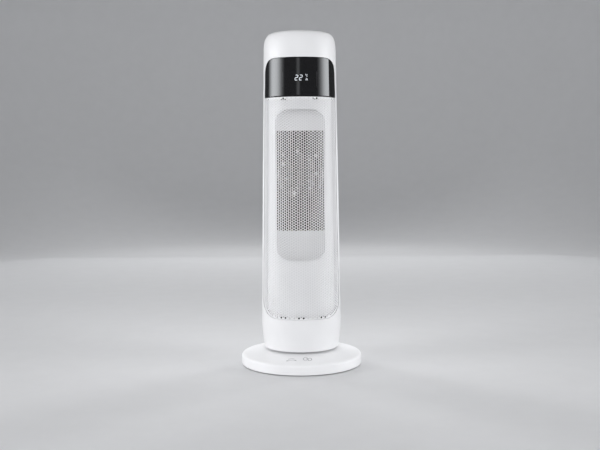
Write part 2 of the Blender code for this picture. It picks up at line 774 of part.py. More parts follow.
def heater_frame():
    """Flat frame behind the baffle, with the window that the heater core fills."""
    half = WINDOW_HALF_WIDTH + 1 * MM
    loops = [
        [(-half, 205 * MM), (half, 205 * MM), (half, 507 * MM), (-half, 507 * MM)],
        [
            (-WINDOW_HALF_WIDTH + 1 * MM, WINDOW_LOW),
            (WINDOW_HALF_WIDTH - 1 * MM, WINDOW_LOW),
            (WINDOW_HALF_WIDTH - 1 * MM, WINDOW_HIGH),
            (-WINDOW_HALF_WIDTH + 1 * MM, WINDOW_HIGH),
        ],
    ]
    thickness = 2.5 * MM
    outlined("heater_frame", loops, thickness, "white_inner", facing_y(HEATER_FRONT_Y + thickness / 2))


def fin_bank(name, left):
    """Corrugated aluminium strip that zigzags up between two ceramic bars."""
    low, high = WINDOW_LOW + 1 * MM, WINDOW_HIGH - 1 * MM
    folds = 24
    sheet = 1.5 * MM
    edge = []
    for i in range(folds + 1):
        x = left + (0 if i % 2 == 0 else FIN_WIDTH - sheet)
        edge.append((x, low + i * (high - low) / folds))
    loop = edge + [(x + sheet, z) for x, z in reversed(edge)]
    outlined(name, [loop], CORE_DEPTH, "aluminium", facing_y(CORE_FRONT_Y + CORE_DEPTH / 2))


def heater_core():
    """Fin banks side by side with the PTC ceramic bars, between two end caps."""
    pitch = FIN_WIDTH + BAR_WIDTH + 2 * GAP
    left = -(FIN_BANKS * FIN_WIDTH + (FIN_BANKS - 1) * (BAR_WIDTH + 2 * GAP)) / 2
    back = CORE_FRONT_Y + CORE_DEPTH
    for number in range(FIN_BANKS):
        start = left + number * pitch
        fin_bank(f"fin_bank_{number + 1}", start)
        if number < FIN_BANKS - 1:
            bar = start + FIN_WIDTH + GAP
            corners = ((bar, CORE_FRONT_Y, WINDOW_LOW), (bar + BAR_WIDTH, back, WINDOW_HIGH))
            boxes(f"ptc_bar_{number + 1}", [corners], "ceramic")
    for name, low, high in (
        ("core_end_cap_bottom", 262 * MM, WINDOW_LOW - GAP),
        ("core_end_cap_top", WINDOW_HIGH + GAP, 465 * MM),
    ):
        boxes(name, [((left, CORE_FRONT_Y, low), (-left, back, high))], "natural_nylon")


def fan_shroud():
    """Heat-proof tray around the heater core, with the fan's ring on its back wall."""
    half, low, high = 50 * MM, 259 * MM, 468 * MM
    back = SHROUD_BACK_Y
    tray = boxes("fan_shroud", [((-half, CORE_FRONT_Y, low), (half, back, high))], "fibre_duct")
    wall = 1.5 * MM
    hollow = ((-half + wall, -60 * MM, low + wall), (half - wall, back - 2 * MM, high - wall))
    cut(tray, boxes("tray_hollow", [hollow]))
    axis_start, axis_end = (0, back - 1 * MM, FAN_Z), (0, 12 * MM, FAN_Z)
    join(tray, rods("fan_ring", [(axis_start, axis_end, FAN_RADIUS + 4 * MM)], None, 28))
    opening = [((0, -20 * MM, FAN_Z), (0, 20 * MM, FAN_Z), FAN_RADIUS + 1.8 * MM)]
    cut(tray, rods("fan_ring_opening", opening, None, 28))


def fan():
    """Axial fan: its motor on a three-armed bracket behind the ring, and the impeller on the shaft."""
    hub, tip, half_arm = 20 * MM, FAN_RADIUS + 4 * MM, 4 * MM
    loop = []
    for degrees in (90, 210, 330):
        for radius, side in ((hub, -1), (tip, -1), (tip, 1), (hub, 1)):
            loop.append(on_circle(radius, degrees + side * math.degrees(math.asin(half_arm / radius))))
        loop += [on_circle(hub, degrees + 30 * i) for i in (1, 2, 3)]
    bracket_depth = 2.4 * MM
    bracket_y = 12 * MM + GAP
    stand = facing_y(bracket_y + bracket_depth / 2) @ Matrix.Translation((0, FAN_Z, 0))
    outlined("motor_bracket", [loop, circle(4 * MM, (0, 0), 12)], bracket_depth, "zinc_steel", stand)
    motor_front = bracket_y + bracket_depth + GAP
    motor = turned(
        "fan_motor",
        [
            (3.2 * MM, 0),
            (24 * MM, 0),
            (24 * MM, -26 * MM),
            (8 * MM, -28 * MM),
            (0, -28 * MM),
            (0, -10 * MM),
            (3.2 * MM, -10 * MM),
        ],
        "black_steel",
        24,
    )
    motor.location = (0, motor_front, FAN_Z)
    motor.rotation_euler = (math.radians(90), 0, 0)
    impeller(motor_front)


def impeller(motor_front):
    """Hub, swept blades and shaft, turning about the axis through the fan motor."""
    hub_radius, hub_half = 14 * MM, 8 * MM
    bm = bmesh.new()
    add_cylinder(bm, (0, 0, -hub_half), (0, 0, hub_half), hub_radius, 21)
    wheel = place("fan_impeller", mesh_from("fan_impeller", bm), "grey_plastic")
    blade = [
        (12 * MM, -4 * MM),
        (30 * MM, -11 * MM),
        (42 * MM, -12 * MM),
        (FAN_RADIUS, 0),
        (42 * MM, 12 * MM),
        (30 * MM, 9 * MM),
        (12 * MM, 4 * MM),
    ]
    for number in range(FAN_BLADES):
        turn = Matrix.Rotation(2 * math.pi * number / FAN_BLADES, 4, "Z")
        pitched = turn @ Matrix.Rotation(math.radians(32), 4, "X")
        blade_shape = outlined(f"blade_{number}", [blade], 1.6 * MM, None, pitched)
        put_fan_axis(blade_shape)
        join(wheel, blade_shape)
    reach = motor_front + 8 * MM - FAN_AXIS_Y
    shaft = rods("fan_shaft", [((0, 0, hub_half - 1 * MM), (0, 0, reach), 2.5 * MM)], None, 12)
    for thing in (shaft, wheel):
        put_fan_axis(thing)
    join(wheel, shaft)


def put_fan_axis(thing):
    """Points the object's own Z axis backwards along the fan's axis."""
    thing.location = (0, FAN_AXIS_Y, FAN_Z)
    thing.rotation_euler = (math.radians(-90), 0, 0)


def controls():
    """Control board, thermostat and the cable up to the display."""
    board_y = 20 * MM
    board = boxes(
        "control_board",
        [((-38 * MM, board_y, 122 * MM), (38 * MM, board_y + 1.6 * MM, 238 * MM))],
        "circuit_board",
    )
    parts = [
        ((-30 * MM, board_y - 16 * MM, 200 * MM), (-11 * MM, board_y + 1 * MM, 216 * MM)),
        ((-5 * MM, board_y - 16 * MM, 200 * MM), (14 * MM, board_y + 1 * MM, 216 * MM)),
        ((-28 * MM, board_y - 22 * MM, 150 * MM), (-2 * MM, board_y + 1 * MM, 180 * MM)),
        ((10 * MM, board_y - 12 * MM, 130 * MM), (32 * MM, board_y + 1 * MM, 145 * MM)),
    ]
    join(board, boxes("board_parts", parts))
    front, z = SHROUD_BACK_Y + GAP, 446 * MM
    rods("thermostat", [((0, front, z), (0, front + 9 * MM, z), 8 * MM)], "ceramic", 14)
    display_cable()


def display_cable():
    """Cable from the control board up beside the fan to the display board."""
    route = [
        (30, 15, 228), (36, 12, 236), (45, 8, 252), (53, 6, 275), (57, 5, 310), (57, 4, 360),
        (57, 2, 410), (57, -1, 455), (55, -6, 485), (50, -16, 508), (42, -28, 524), (34, -39, 536),
        (27, -46, 546), (23, -50, 552),
    ]
    curve = bpy.data.curves.new("display_cable", "CURVE")
    curve.dimensions = "3D"
    curve.bevel_depth = 1.8 * MM
    curve.bevel_resolution = 1
    curve.use_fill_caps = True
    spline = curve.splines.new("POLY")
    spline.points.add(len(route) - 1)
    for point, (x, y, z) in zip(spline.points, route):
        point.co = (x * MM, y * MM, z * MM, 1)
    meshed("display_cable", curve, "cable_jacket")


def power_switch():
    """Rocker switch low on the back of the tower."""
    x, y, z = ROCKER_PIVOT
    housing = boxes(
        "switch_housing",
        [((-9.9 * MM, 62 * MM, z - 7.4 * MM), (9.9 * MM, 78.6 * MM, z + 7.4 * MM))],
        "black_plastic",
    )
    rim = ((-12 * MM, 78.4 * MM, z - 9.5 * MM), (12 * MM, 80 * MM, z + 9.5 * MM))
    join(housing, boxes("switch_rim", [rim]))
    hollow = ((-8.2 * MM, 66 * MM, z - 6.3 * MM), (8.2 * MM, 90 * MM, z + 6.3 * MM))
    cut(housing, boxes("switch_hollow", [hollow]))
    profile = [(-5.1, 6), (0, 4.4), (5.1, 6), (5.3, -1), (3, -6), (-3, -6), (-5.3, -1)]
    loop = [(across * MM, out * MM) for across, out in profile]
    # The outline is drawn across the rocker and outwards, then turned so that it spans the height.
    stand = Matrix(((0, 0, 1, 0), (0, 1, 0, 0), (1, 0, 0, 0), (0, 0, 0, 1)))
    rocker = outlined("power_rocker", [loop], 15.6 * MM, "black_plastic", stand)
    rocker.location = (x, y, z)
    rocker.rotation_euler = (ROCKER_REST_TILT, 0, 0)


BASE_PIECES = ("base_", "foot_", "bearing_", "ballast_", "oscillation_", "touch_", "tip_", "cord_gland")


def hang_tower():
    """Parents every piece of the tower to an empty on the oscillation axis."""
    axis = bpy.data.objects.new("oscillation_axis", None)
    HEATER.objects.link(axis)
    for thing in HEATER.objects:
        if thing is not axis and not thing.name.startswith(BASE_PIECES):
            thing.parent = axis


def main():
    base_cover()
    base_plate()
    feet()
    base_screws()
    base_insides()
    tip_switch()
    sector_gear()
    pinion()
    turntable()
    front_shell()
    rear_shell()
    shell_screws()
    intake()
    display()
    front_grille()
    air_baffle()
    heater_frame()
    heater_core()
    fan_shroud()
    fan()
    controls()
    power_switch()
    hang_tower()


main()
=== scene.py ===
"""Looks of the ceramic tower heater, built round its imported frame.

Metres, +Z up, and the front of the heater faces -Y. A new piece that stands for a solid repeats its driving
dimensions in finer steps and rides on the same body.
"""

import json
import math

import bmesh
import bpy
from mathutils import Matrix, Vector


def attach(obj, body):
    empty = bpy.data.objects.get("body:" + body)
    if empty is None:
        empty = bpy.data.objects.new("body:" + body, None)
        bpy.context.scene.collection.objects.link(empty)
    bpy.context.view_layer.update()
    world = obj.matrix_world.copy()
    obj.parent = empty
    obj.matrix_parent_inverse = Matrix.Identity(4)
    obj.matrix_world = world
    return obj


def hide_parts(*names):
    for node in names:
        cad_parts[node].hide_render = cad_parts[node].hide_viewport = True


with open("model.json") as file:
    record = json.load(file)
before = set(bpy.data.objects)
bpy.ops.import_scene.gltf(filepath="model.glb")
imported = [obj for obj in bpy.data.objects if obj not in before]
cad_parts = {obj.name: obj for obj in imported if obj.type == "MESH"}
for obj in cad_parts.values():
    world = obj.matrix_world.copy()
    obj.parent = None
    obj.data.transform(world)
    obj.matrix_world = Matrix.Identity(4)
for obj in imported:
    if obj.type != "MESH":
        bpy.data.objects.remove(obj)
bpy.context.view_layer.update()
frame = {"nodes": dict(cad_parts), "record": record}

MM = 0.001

# Driving dimensions, as in the solids
TOWER_TOP = 650 * MM
TOWER_BOTTOM = 35.5 * MM
BELLY_Z = 90 * MM
BELLY_RADIUS = 78.4 * MM
FOOT_OF_TOWER_RADIUS = 73 * MM
SHOULDER_Z = 600 * MM
SHOULDER_RADIUS = 70.4 * MM
DOME_EDGE_RADIUS = 46.5 * MM
DOME_EDGE_Z = 649.2 * MM
WALL = 2.5 * MM
GAP = 0.3 * MM
SPLIT_Y = 7 * MM
SIDES = 192
DOME_STEPS = 28
PANEL_STEPS = 14
HEIGHT_STEP = 25 * MM
BEYOND = 100 * MM

BASE_RADIUS = 119 * MM
BASE_EDGE_ROUNDING = 6 * MM
BASE_SHOULDER_Z = 16 * MM
BASE_LAND_Z = 32 * MM
BASE_TILT = 14
SLOPE_RADIUS = 76 * MM
SLOPE_TOP_Z = 31 * MM
FASTENER_RADIUS = 100 * MM
BASE_SCREW_ANGLES = (90, 210, 330)

LENS_LOW = 523.3 * MM
LENS_HIGH = 597.2 * MM
LENS_SPREAD = 0.9525
LENS_CORNER = (23.6 * MM, 35 * MM, 0.8)
GRILLE_LOW = 99 * MM
GRILLE_SPREAD = 0.941
GRILLE_CORNER = (26 * MM, 30 * MM, 0.6)
FRONT_REACH = 110 * MM

SHELL_SCREWS = [(side * 60 * MM, z) for z in (70 * MM, 556 * MM) for side in (-1, 1)]
SCREW_HEAD_Y = 14 * MM
BOARD_POSTS = [(x, z) for x in (-30 * MM, 30 * MM) for z in (135 * MM, 225 * MM)]
INTAKE_HALF_WIDTH = 45 * MM
INTAKE_LOW = 290 * MM
INTAKE_HIGH = 454 * MM
INTAKE_CORNER = 9 * MM
INTAKE_BAND = (280 * MM, 464 * MM)
INTAKE_NEAR = 15 * MM
SLOT_PITCH = 9 * MM
SLOT_HEIGHT = 4.5 * MM
SLOT_ROUNDING = 1.2 * MM
ROCKER_PIVOT = (0, 75.6 * MM, 72 * MM)
ROCKER_REST_TILT = math.radians(8)
FAN_AXIS_Y = 2 * MM
FAN_Z = 372 * MM
FAN_RADIUS = 44 * MM
FAN_BLADES = 7

CORE_FRONT_Y = -37.6 * MM
CORE_DEPTH = 16 * MM
CORE_LOW = 268 * MM
CORE_HIGH = 459 * MM
FIN_BANKS = 5
FIN_WIDTH = 11.6 * MM
FIN_SHEET = 0.3 * MM
FIN_FOLDS = 76
FIN_POINTS_PER_FOLD = 8
FIN_BEND = 0.62
BAR_WIDTH = 8 * MM

BACKWARDS = Matrix.Rotation(math.radians(-90), 4, "X")
SCENE = bpy.context.scene


# Materials


def feed(tree, made, inputs):
    """Sets inputs of a node, each to a value or from a socket. Their keys are names or numbers."""
    for key, value in inputs.items():
        if isinstance(value, bpy.types.NodeSocket):
            tree.links.new(value, made.inputs[key])
        else:
            made.inputs[key].default_value = value


def node(tree, kind, inputs=None, settings=None):
    """Adds a shader node with its inputs and settings."""
    made = tree.nodes.new("ShaderNode" + kind)
    for key, value in (settings or {}).items():
        setattr(made, key, value)
    feed(tree, made, inputs or {})
    return made


def start_material(name):
    """A new material, its node tree, and the place in the object that its textures follow."""
    made = bpy.data.materials.new(name)
    made.use_nodes = True
    tree = made.node_tree
    return made, tree, node(tree, "TexCoord").outputs["Object"]


def shaded(made, colour, roughness, relief=None, others=None):
    """Ends a material. Its relief is a height and the depth of that height in metres."""
    tree = made.node_tree
    inputs = {"Base Color": colour, "Roughness": roughness, **(others or {})}
    if relief:
        bump = {"Height": relief[0], "Distance": relief[1], "Strength": 1.0}
        inputs["Normal"] = node(tree, "Bump", bump).outputs["Normal"]
    feed(tree, tree.nodes["Principled BSDF"], inputs)
    return made


def noise(tree, place, scale, detail=2.0):
    return node(tree, "TexNoise", {"Vector": place, "Scale": scale, "Detail": detail}).outputs["Fac"]


def maths(tree, operation, *values):
    return node(tree, "Math", dict(enumerate(values)), {"operation": operation}).outputs[0]


def mixed(tree, factor, first, second):
    """Colour between two colours, by the factor."""
    ramp = node(tree, "ValToRGB", {"Fac": factor})
    for stop, position, colour in zip(ramp.color_ramp.elements, (0.3, 0.7), (first, second)):
        stop.position = position
        stop.color = (*colour, 1)
    return ramp.outputs["Color"]


def laid_over(tree, cover, first, second):
    """The first colour, with the second over it where the cover is 1."""
    return node(tree, "Mix", {0: cover, 6: first, 7: second}, {"data_type": "RGBA"}).outputs[2]


def ranged(tree, value, low, high, from_low=0.3, from_high=0.7):
    """A value from one range, carried over to another."""
    ends = {"Value": value, "From Min": from_low, "From Max": from_high, "To Min": low, "To Max": high}
    return node(tree, "MapRange", ends).outputs["Result"]


def moulded(name, colour, roughness, grain=0.00003, tint=0.03, metallic=0.0, grain_scale=2200.0):
    """A moulded, painted or cast finish: a fine grain, slight colour drift and uneven gloss."""
    made, tree, place = start_material(name)
    darker = tuple(c * (1 - tint) for c in colour)
    lighter = tuple(min(c * (1 + tint), 1) for c in colour)
    tone = mixed(tree, noise(tree, place, 17.0), darker, lighter)
    gloss = ranged(tree, noise(tree, place, 75.0, 3.0), roughness * 0.9, roughness * 1.1)
    return shaded(made, tone, gloss, (noise(tree, place, grain_scale, 1.0), grain), {"Metallic": metallic})


HAIRLINE_X = 32 * MM
HAIRLINE_Z = 556 * MM
HAIRLINE_HALF_WIDTH = 0.35 * MM
HAIRLINE_HALF_HEIGHT = 14 * MM


def gloss_black(name):
    """Smoked acrylic: a mirror gloss with faint smears, and two hairlines beside the display."""
    made, tree, place = start_material(name)
    axes = node(tree, "SeparateXYZ", {"Vector": place}).outputs
    off_centre = maths(tree, "ABSOLUTE", axes["X"])
    across = maths(tree, "COMPARE", off_centre, HAIRLINE_X, HAIRLINE_HALF_WIDTH)
    up = maths(tree, "COMPARE", axes["Z"], HAIRLINE_Z, HAIRLINE_HALF_HEIGHT)
    line = maths(tree, "MULTIPLY", across, up)
    tone = laid_over(tree, line, (0.008, 0.008, 0.009, 1), (0.05, 0.05, 0.052, 1))
    gloss = ranged(tree, noise(tree, place, 30.0, 4.0), 0.045, 0.085)
    return shaded(made, tone, gloss, (noise(tree, place, 9.0, 1.0), 0.00008), {"IOR": 1.72})


def brushed(name, colour, roughness, stretch):
    """Bare or plated metal with its rolling lines along one axis."""
    made, tree, place = start_material(name)
    lines = node(tree, "Mapping", {"Vector": place, "Scale": stretch}).outputs["Vector"]
    grain = noise(tree, lines, 900.0, 3.0)
    tone = mixed(tree, noise(tree, place, 60.0, 3.0), tuple(c * 0.86 for c in colour), colour)
    gloss = ranged(tree, grain, roughness * 0.75, roughness * 1.25)
    return shaded(made, tone, gloss, (grain, 0.00003), {"Metallic": 1.0})


def circuit_board(name):
    """Green solder mask with raised copper tracks and tinned pads."""
    made, tree, place = start_material(name)
    bricks = {"Vector": place, "Scale": 210.0, "Mortar Size": 0.09, "Mortar": (0.05, 0.26, 0.1, 1)}
    bricks |= {"Color1": (0.018, 0.11, 0.045, 1), "Color2": (0.02, 0.13, 0.05, 1)}
    layout = {"offset": 0.35, "squash": 0.6, "squash_frequency": 3}
    tracks = node(tree, "TexBrick", bricks, layout).outputs
    pads = node(tree, "TexVoronoi", {"Vector": place, "Scale": 260.0}).outputs["Distance"]
    tin = ranged(tree, pads, 1.0, 0.0, 0.1, 0.16)
    tone = laid_over(tree, tin, tracks["Color"], (0.62, 0.62, 0.6, 1))
    gloss = ranged(tree, noise(tree, place, 90.0), 0.3, 0.45)
    return shaded(made, tone, gloss, (tracks["Fac"], 0.00004))


def woven(name, colour):
    """Fine knitted filter mesh: dark threads with deeper gaps between them."""
    made, tree, place = start_material(name)
    weave = {"Vector": place, "Scale": 160.0, "Distortion": 0.4}
    waves = [node(tree, "TexWave", weave, {"bands_direction": axis}).outputs["Fac"] for axis in "XZ"]
    thread = maths(tree, "MAXIMUM", *waves)
    tone = mixed(tree, thread, tuple(c * 0.2 for c in colour), colour)
    return shaded(made, tone, ranged(tree, noise(tree, place, 200.0), 0.7, 0.9), (thread, 0.0003))


def glowing(name, colour, strength):
    """Lit display segment, a little uneven over its length."""
    made, tree, place = start_material(name)
    dim = tuple(c * 0.8 for c in colour)
    glow = mixed(tree, noise(tree, place, 300.0), dim, colour)
    tone = mixed(tree, noise(tree, place, 120.0), dim, colour)
    return shaded(made, tone, 0.3, None, {"Emission Color": glow, "Emission Strength": strength})


LOOKS = {
    "white_shell": moulded("satin_white", (0.85, 0.852, 0.866), 0.4, 0.00002, 0.01),
    # The shell's white made lighter for the base cover: painted light on the base.
    "white_shell_lit_copy": moulded("satin_white_lit_copy", (0.91, 0.912, 0.926), 0.4, 0.00002, 0.01),
    "white_grille": moulded("powder_white", (0.925, 0.927, 0.94), 0.45, 0.00003, 0.01, grain_scale=1200.0),
    "white_inner": moulded("matt_white", (0.86, 0.862, 0.875), 0.55, 0.00004, 0.02),
    "black_lens": gloss_black("smoked_acrylic"),
    "black_plastic": moulded("black_grained", (0.022, 0.022, 0.024), 0.48, 0.00006, 0.12),
    "grey_plastic": moulded("grey_glass_filled", (0.3, 0.3, 0.31), 0.5, 0.00005, 0.08),
    "fibre_duct": moulded("dark_moulding", (0.07, 0.07, 0.07), 0.6, 0.00008, 0.15),
    "natural_nylon": moulded("nylon", (0.8, 0.77, 0.69), 0.42, 0.00003, 0.03),
    "circuit_board": circuit_board("solder_mask"),
    "zinc_steel": brushed("zinc_plate", (0.62, 0.63, 0.66), 0.34, (1.0, 12.0, 1.0)),
    "black_steel": moulded("black_enamel", (0.04, 0.04, 0.04), 0.4, 0.00006, 0.2, 0.3),
    "cast_iron": moulded("sand_cast_iron", (0.11, 0.11, 0.115), 0.7, 0.0003, 0.25, 0.7, 700.0),
    # Aluminium darkened far below its own tone so the deep heater core looks dark: painted shade.
    "aluminium": brushed("fin_aluminium_painted_dark", (0.13, 0.13, 0.132), 0.45, (1.0, 1.0, 9.0)),
    "ceramic": moulded("fired_ceramic", (0.032, 0.032, 0.033), 0.6, 0.00012, 0.12, 0.0, 900.0),
    "rubber": moulded("soft_rubber", (0.035, 0.035, 0.036), 0.8, 0.00008, 0.15),
    # Pale grey for the blobs on the heater core: painted glints.
    "glint_paint": moulded("pale_glint_paint", (0.5, 0.5, 0.5), 0.45, 0.00005, 0.05),
    "foam": moulded("open_foam", (0.08, 0.08, 0.085), 0.95, 0.0006, 0.35, 0.0, 600.0),
    "filter_mesh": woven("knitted_mesh", (0.16, 0.16, 0.17)),
    "cable_jacket": moulded("cable_pvc", (0.12, 0.12, 0.125), 0.5, 0.00003, 0.08),
    "icon_print": moulded("grey_print", (0.47, 0.475, 0.49), 0.5, 0.00001, 0.04),
    "display_light": glowing("lit_segment", (0.9, 0.94, 1.0), 0.43),
}


# Mesh helpers


def finished(name, bm, body=None, slot=None, replaced=(), sharp=32):
    """Ends the bmesh as an object; with a body it is a piece of the heater, and otherwise a helper."""
    bmesh.ops.recalc_face_normals(bm, faces=bm.faces)
    if bm.calc_volume(signed=True) < 0:
        bmesh.ops.reverse_faces(bm, faces=bm.faces)
    mesh = bpy.data.meshes.new(name)
    bm.to_mesh(mesh)
    bm.free()
    thing = bpy.data.objects.new(name, mesh)
    SCENE.collection.objects.link(thing)
    if body:
        as_piece(thing, body, slot, replaced, sharp)
    return thing


def coat(thing, look):
    thing.data.materials.clear()
    thing.data.materials.append(look)


def as_piece(thing, body, slot, replaced=(), sharp=32):
    """Makes an object a piece of the heater, with its looks, body and slot, and the solid it stands for."""
    smooth(thing, sharp)
    coat(thing, LOOKS[slot])
    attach(thing, body)
    if replaced:
        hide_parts(*replaced)


def smooth(thing, degrees):
    thing.data.shade_smooth()
    thing.data.set_sharp_from_angle(angle=math.radians(degrees))


def bm_from(points, faces):
    bm = bmesh.new()
    corners = [bm.verts.new(point) for point in points]
    for face in faces:
        bm.faces.new([corners[i] for i in face])
    return bm


def around(radius, angle, z):
    """A point round the axis. Angle 0 is at the front."""
    return (radius * math.sin(angle), -radius * math.cos(angle), z)


def lathe(profile, sides=SIDES, closed=False):
    """Bmesh of a turned solid. Points on the axis become one vertex each."""
    points, rings = [], []
    for radius, z in profile:
        count = 1 if radius < 1e-7 else sides
        rings.append([len(points) + i for i in range(count)])
        for i in range(count):
            points.append(around(radius, 2 * math.pi * i / sides, z))
    faces = []
    for low, high in zip(rings, rings[1:] + rings[:1] if closed else rings[1:]):
        for i in range(sides):
            j = (i + 1) % sides
            if len(low) == 1:
                faces.append((low[0], high[i], high[j]))
            elif len(high) == 1:
                faces.append((low[i], high[0], low[j]))
            else:
                faces.append((low[i], high[i], high[j], low[j]))
    return bm_from(points, faces)


def add_between(bm, first, second):
    """Adds the closed solid between two loops whose points match."""
    low, high = ([bm.verts.new(point) for point in loop] for loop in (first, second))
    bm.faces.new(low)
    bm.faces.new(high[::-1])
    for i in range(len(low)):
        j = (i + 1) % len(low)
        bm.faces.new((low[i], low[j], high[j], high[i]))


def prism(name, outline, near, far):
    """Helper solid with an outline in X and Z that runs between two depths in Y."""
    bm = bmesh.new()
    add_between(bm, *([(x, y, z) for x, z in outline] for y in (near, far)))
    return finished(name, bm)


def boxes(name, corners, bevel=0.0):
    """Helper boxes, each given as its low and its high corner."""
    bm = bmesh.new()
    for low, high in corners:
        low, high = Vector(low), Vector(high)
        matrix = Matrix.Translation((low + high) / 2) @ Matrix.Diagonal((*(high - low), 1))
        made = bmesh.ops.create_cube(bm, size=1, matrix=matrix)
        if bevel:
            edges = {edge for vert in made["verts"] for edge in vert.link_edges}
            bmesh.ops.bevel(bm, geom=list(edges), offset=bevel, segments=2, profile=0.5, affect="EDGES")
    return finished(name, bm)


def rods(name, runs, sides=32):
    """Helper round bars, each given as (start, end, radius)."""
    bm = bmesh.new()
    for start, end, radius in runs:
        start, end = Vector(start), Vector(end)
        turn = (end - start).to_track_quat("Z", "Y").to_matrix().to_4x4()
        matrix = Matrix.Translation((start + end) / 2) @ turn
        sizes = {"radius1": radius, "radius2": radius, "depth": (end - start).length}
        bmesh.ops.create_cone(bm, cap_ends=True, segments=sides, matrix=matrix, **sizes)
    return finished(name, bm)


def rods_along_y(name, places, near, far, radius, sides=32):
    return rods(name, [((x, near, z), (x, far, z), radius) for x, z in places], sides)


def change(thing, operation, *others):
    """Applies a Boolean with each of the others, and removes them."""
    for other in others:
        boolean = thing.modifiers.new("change", "BOOLEAN")
        boolean.operation = operation
        boolean.solver = "MANIFOLD"
        boolean.object = other
        graph = bpy.context.evaluated_depsgraph_get()
        mesh = bpy.data.meshes.new_from_object(thing.evaluated_get(graph))
        thing.modifiers.clear()
        old = thing.data
        thing.data = mesh
        bpy.data.meshes.remove(old)
        bpy.data.objects.remove(other)
    return thing


def cut(thing, *others):
    return change(thing, "DIFFERENCE", *others)


def keep_inside(thing, *others):
    return change(thing, "INTERSECT", *others)


def join(thing, *others):
    return change(thing, "UNION", *others)


def on_circle(radius, degrees):
    return radius * math.cos(math.radians(degrees)), radius * math.sin(math.radians(degrees))


def bezier(p0, p1, p2, p3, t):
    weights = ((1 - t) ** 3, 3 * t * (1 - t) ** 2, 3 * t * t * (1 - t), t**3)
    return tuple(sum(w * p[i] for w, p in zip(weights, (p0, p1, p2, p3))) for i in range(2))


def spaced(start, end, steps):
    return [start + (end - start) * i / steps for i in range(steps + 1)]


# Outer form


def tower_radius(z):
    if z < BELLY_Z:
        drop = (BELLY_Z - z) / (BELLY_Z - TOWER_BOTTOM)
        return BELLY_RADIUS - (BELLY_RADIUS - FOOT_OF_TOWER_RADIUS) * drop**2
    rise = (z - BELLY_Z) / (SHOULDER_Z - BELLY_Z)
    return BELLY_RADIUS + (SHOULDER_RADIUS - BELLY_RADIUS) * rise


def dome_profile(inset):
    """Dome points from the crown down to just above the shoulder, moved inwards by the inset."""
    crown = spaced(0, DOME_EDGE_RADIUS, 8)[:-1]
    points = [(r, TOWER_TOP - (TOWER_TOP - DOME_EDGE_Z) * (r / DOME_EDGE_RADIUS) ** 2) for r in crown]
    start = (DOME_EDGE_RADIUS, DOME_EDGE_Z)
    bend = (SHOULDER_RADIUS - 2.1 * MM, DOME_EDGE_Z)
    side = (SHOULDER_RADIUS, 635.8 * MM)
    end = (SHOULDER_RADIUS, SHOULDER_Z)
    points += [bezier(start, bend, side, end, i / DOME_STEPS) for i in range(DOME_STEPS + 1)]
    moved = []
    for i, (radius, z) in enumerate(points[:-1]):
        before, after = points[max(i - 1, 0)], points[i + 1]
        along = Vector((after[0] - before[0], after[1] - before[1])).normalized()
        if i == 0:
            along = Vector((1, 0))
        moved.append((radius + along.y * inset, z - along.x * inset))
    return moved


def column(heights, inset):
    return [(tower_radius(z) - inset, z) for z in heights]


def heights_down(high, low):
    """Heights from high to low: even steps above the belly, closer steps below it."""
    bottom = max(low, BELLY_Z)
    even = spaced(high, bottom, max(2, round((high - bottom) / HEIGHT_STEP)))
    return even if low >= BELLY_Z else even + spaced(BELLY_Z, low, 14)[1:]


def band(name, low, high, outer_inset, inner_inset):
    """Helper ring that follows the tower's surface between two heights."""
    heights = heights_down(high, low)
    profile = column(heights, outer_inset) + column(reversed(heights), inner_inset)
    return finished(name, lathe(profile, closed=True))


def panel_side(low, high, spread, shrink, low_corner, high_corner):
    """Right-hand side of a panel's outline, upwards, as (half width, height)."""
    low, high = low + shrink, high - shrink
    half_low = spread * tower_radius(low) - shrink
    half_high = spread * tower_radius(high) - shrink
    ends = []
    for z, half, direction, corner in ((low, half_low, 1, low_corner), (high, half_high, -1, high_corner)):
        if corner is None:
            ends.append([(half, z)])
            continue
        width, height, fullness = corner
        flat, side, tip = (half - width, z), (half, z + direction * height), (half, z)
        near_flat = tuple(a + fullness * (b - a) for a, b in zip(flat, tip))
        near_side = tuple(a + fullness * (b - a) for a, b in zip(side, tip))
        shares = [i / PANEL_STEPS for i in range(PANEL_STEPS + 1)]
        ends.append([bezier(flat, near_flat, near_side, side, share) for share in shares])
    straight = list(zip(ends[0][-1], ends[1][-1]))
    between = [tuple(a + (b - a) * i / PANEL_STEPS for a, b in straight) for i in range(1, PANEL_STEPS)]
    return ends[0] + between + ends[1][::-1]


def both_sides(side):
    return side + [(-x, z) for x, z in reversed(side)]


def lens_side(shrink):
    return panel_side(LENS_LOW, LENS_HIGH, LENS_SPREAD, shrink, None, LENS_CORNER)


def grille_side(shrink):
    return panel_side(GRILLE_LOW, LENS_LOW, GRILLE_SPREAD, shrink, GRILLE_CORNER, None)


def front_prism(name, side):
    return prism(name, both_sides(side), -FRONT_REACH, 0)


def rounded_loop(half, low, high, radius, steps=10):
    """Rectangle with round corners, in X and Z."""
    loop = []
    for x, z, first in ((half, high, 0), (-half, high, 90), (-half, low, 180), (half, low, 270)):
        centre = (x - math.copysign(radius, x), z - math.copysign(radius, z - (low + high) / 2))
        for i in range(steps + 1):
            dx, dz = on_circle(radius, first + 90 * i / steps)
            loop.append((centre[0] + dx, centre[1] + dz))
    return loop


# Tower shells


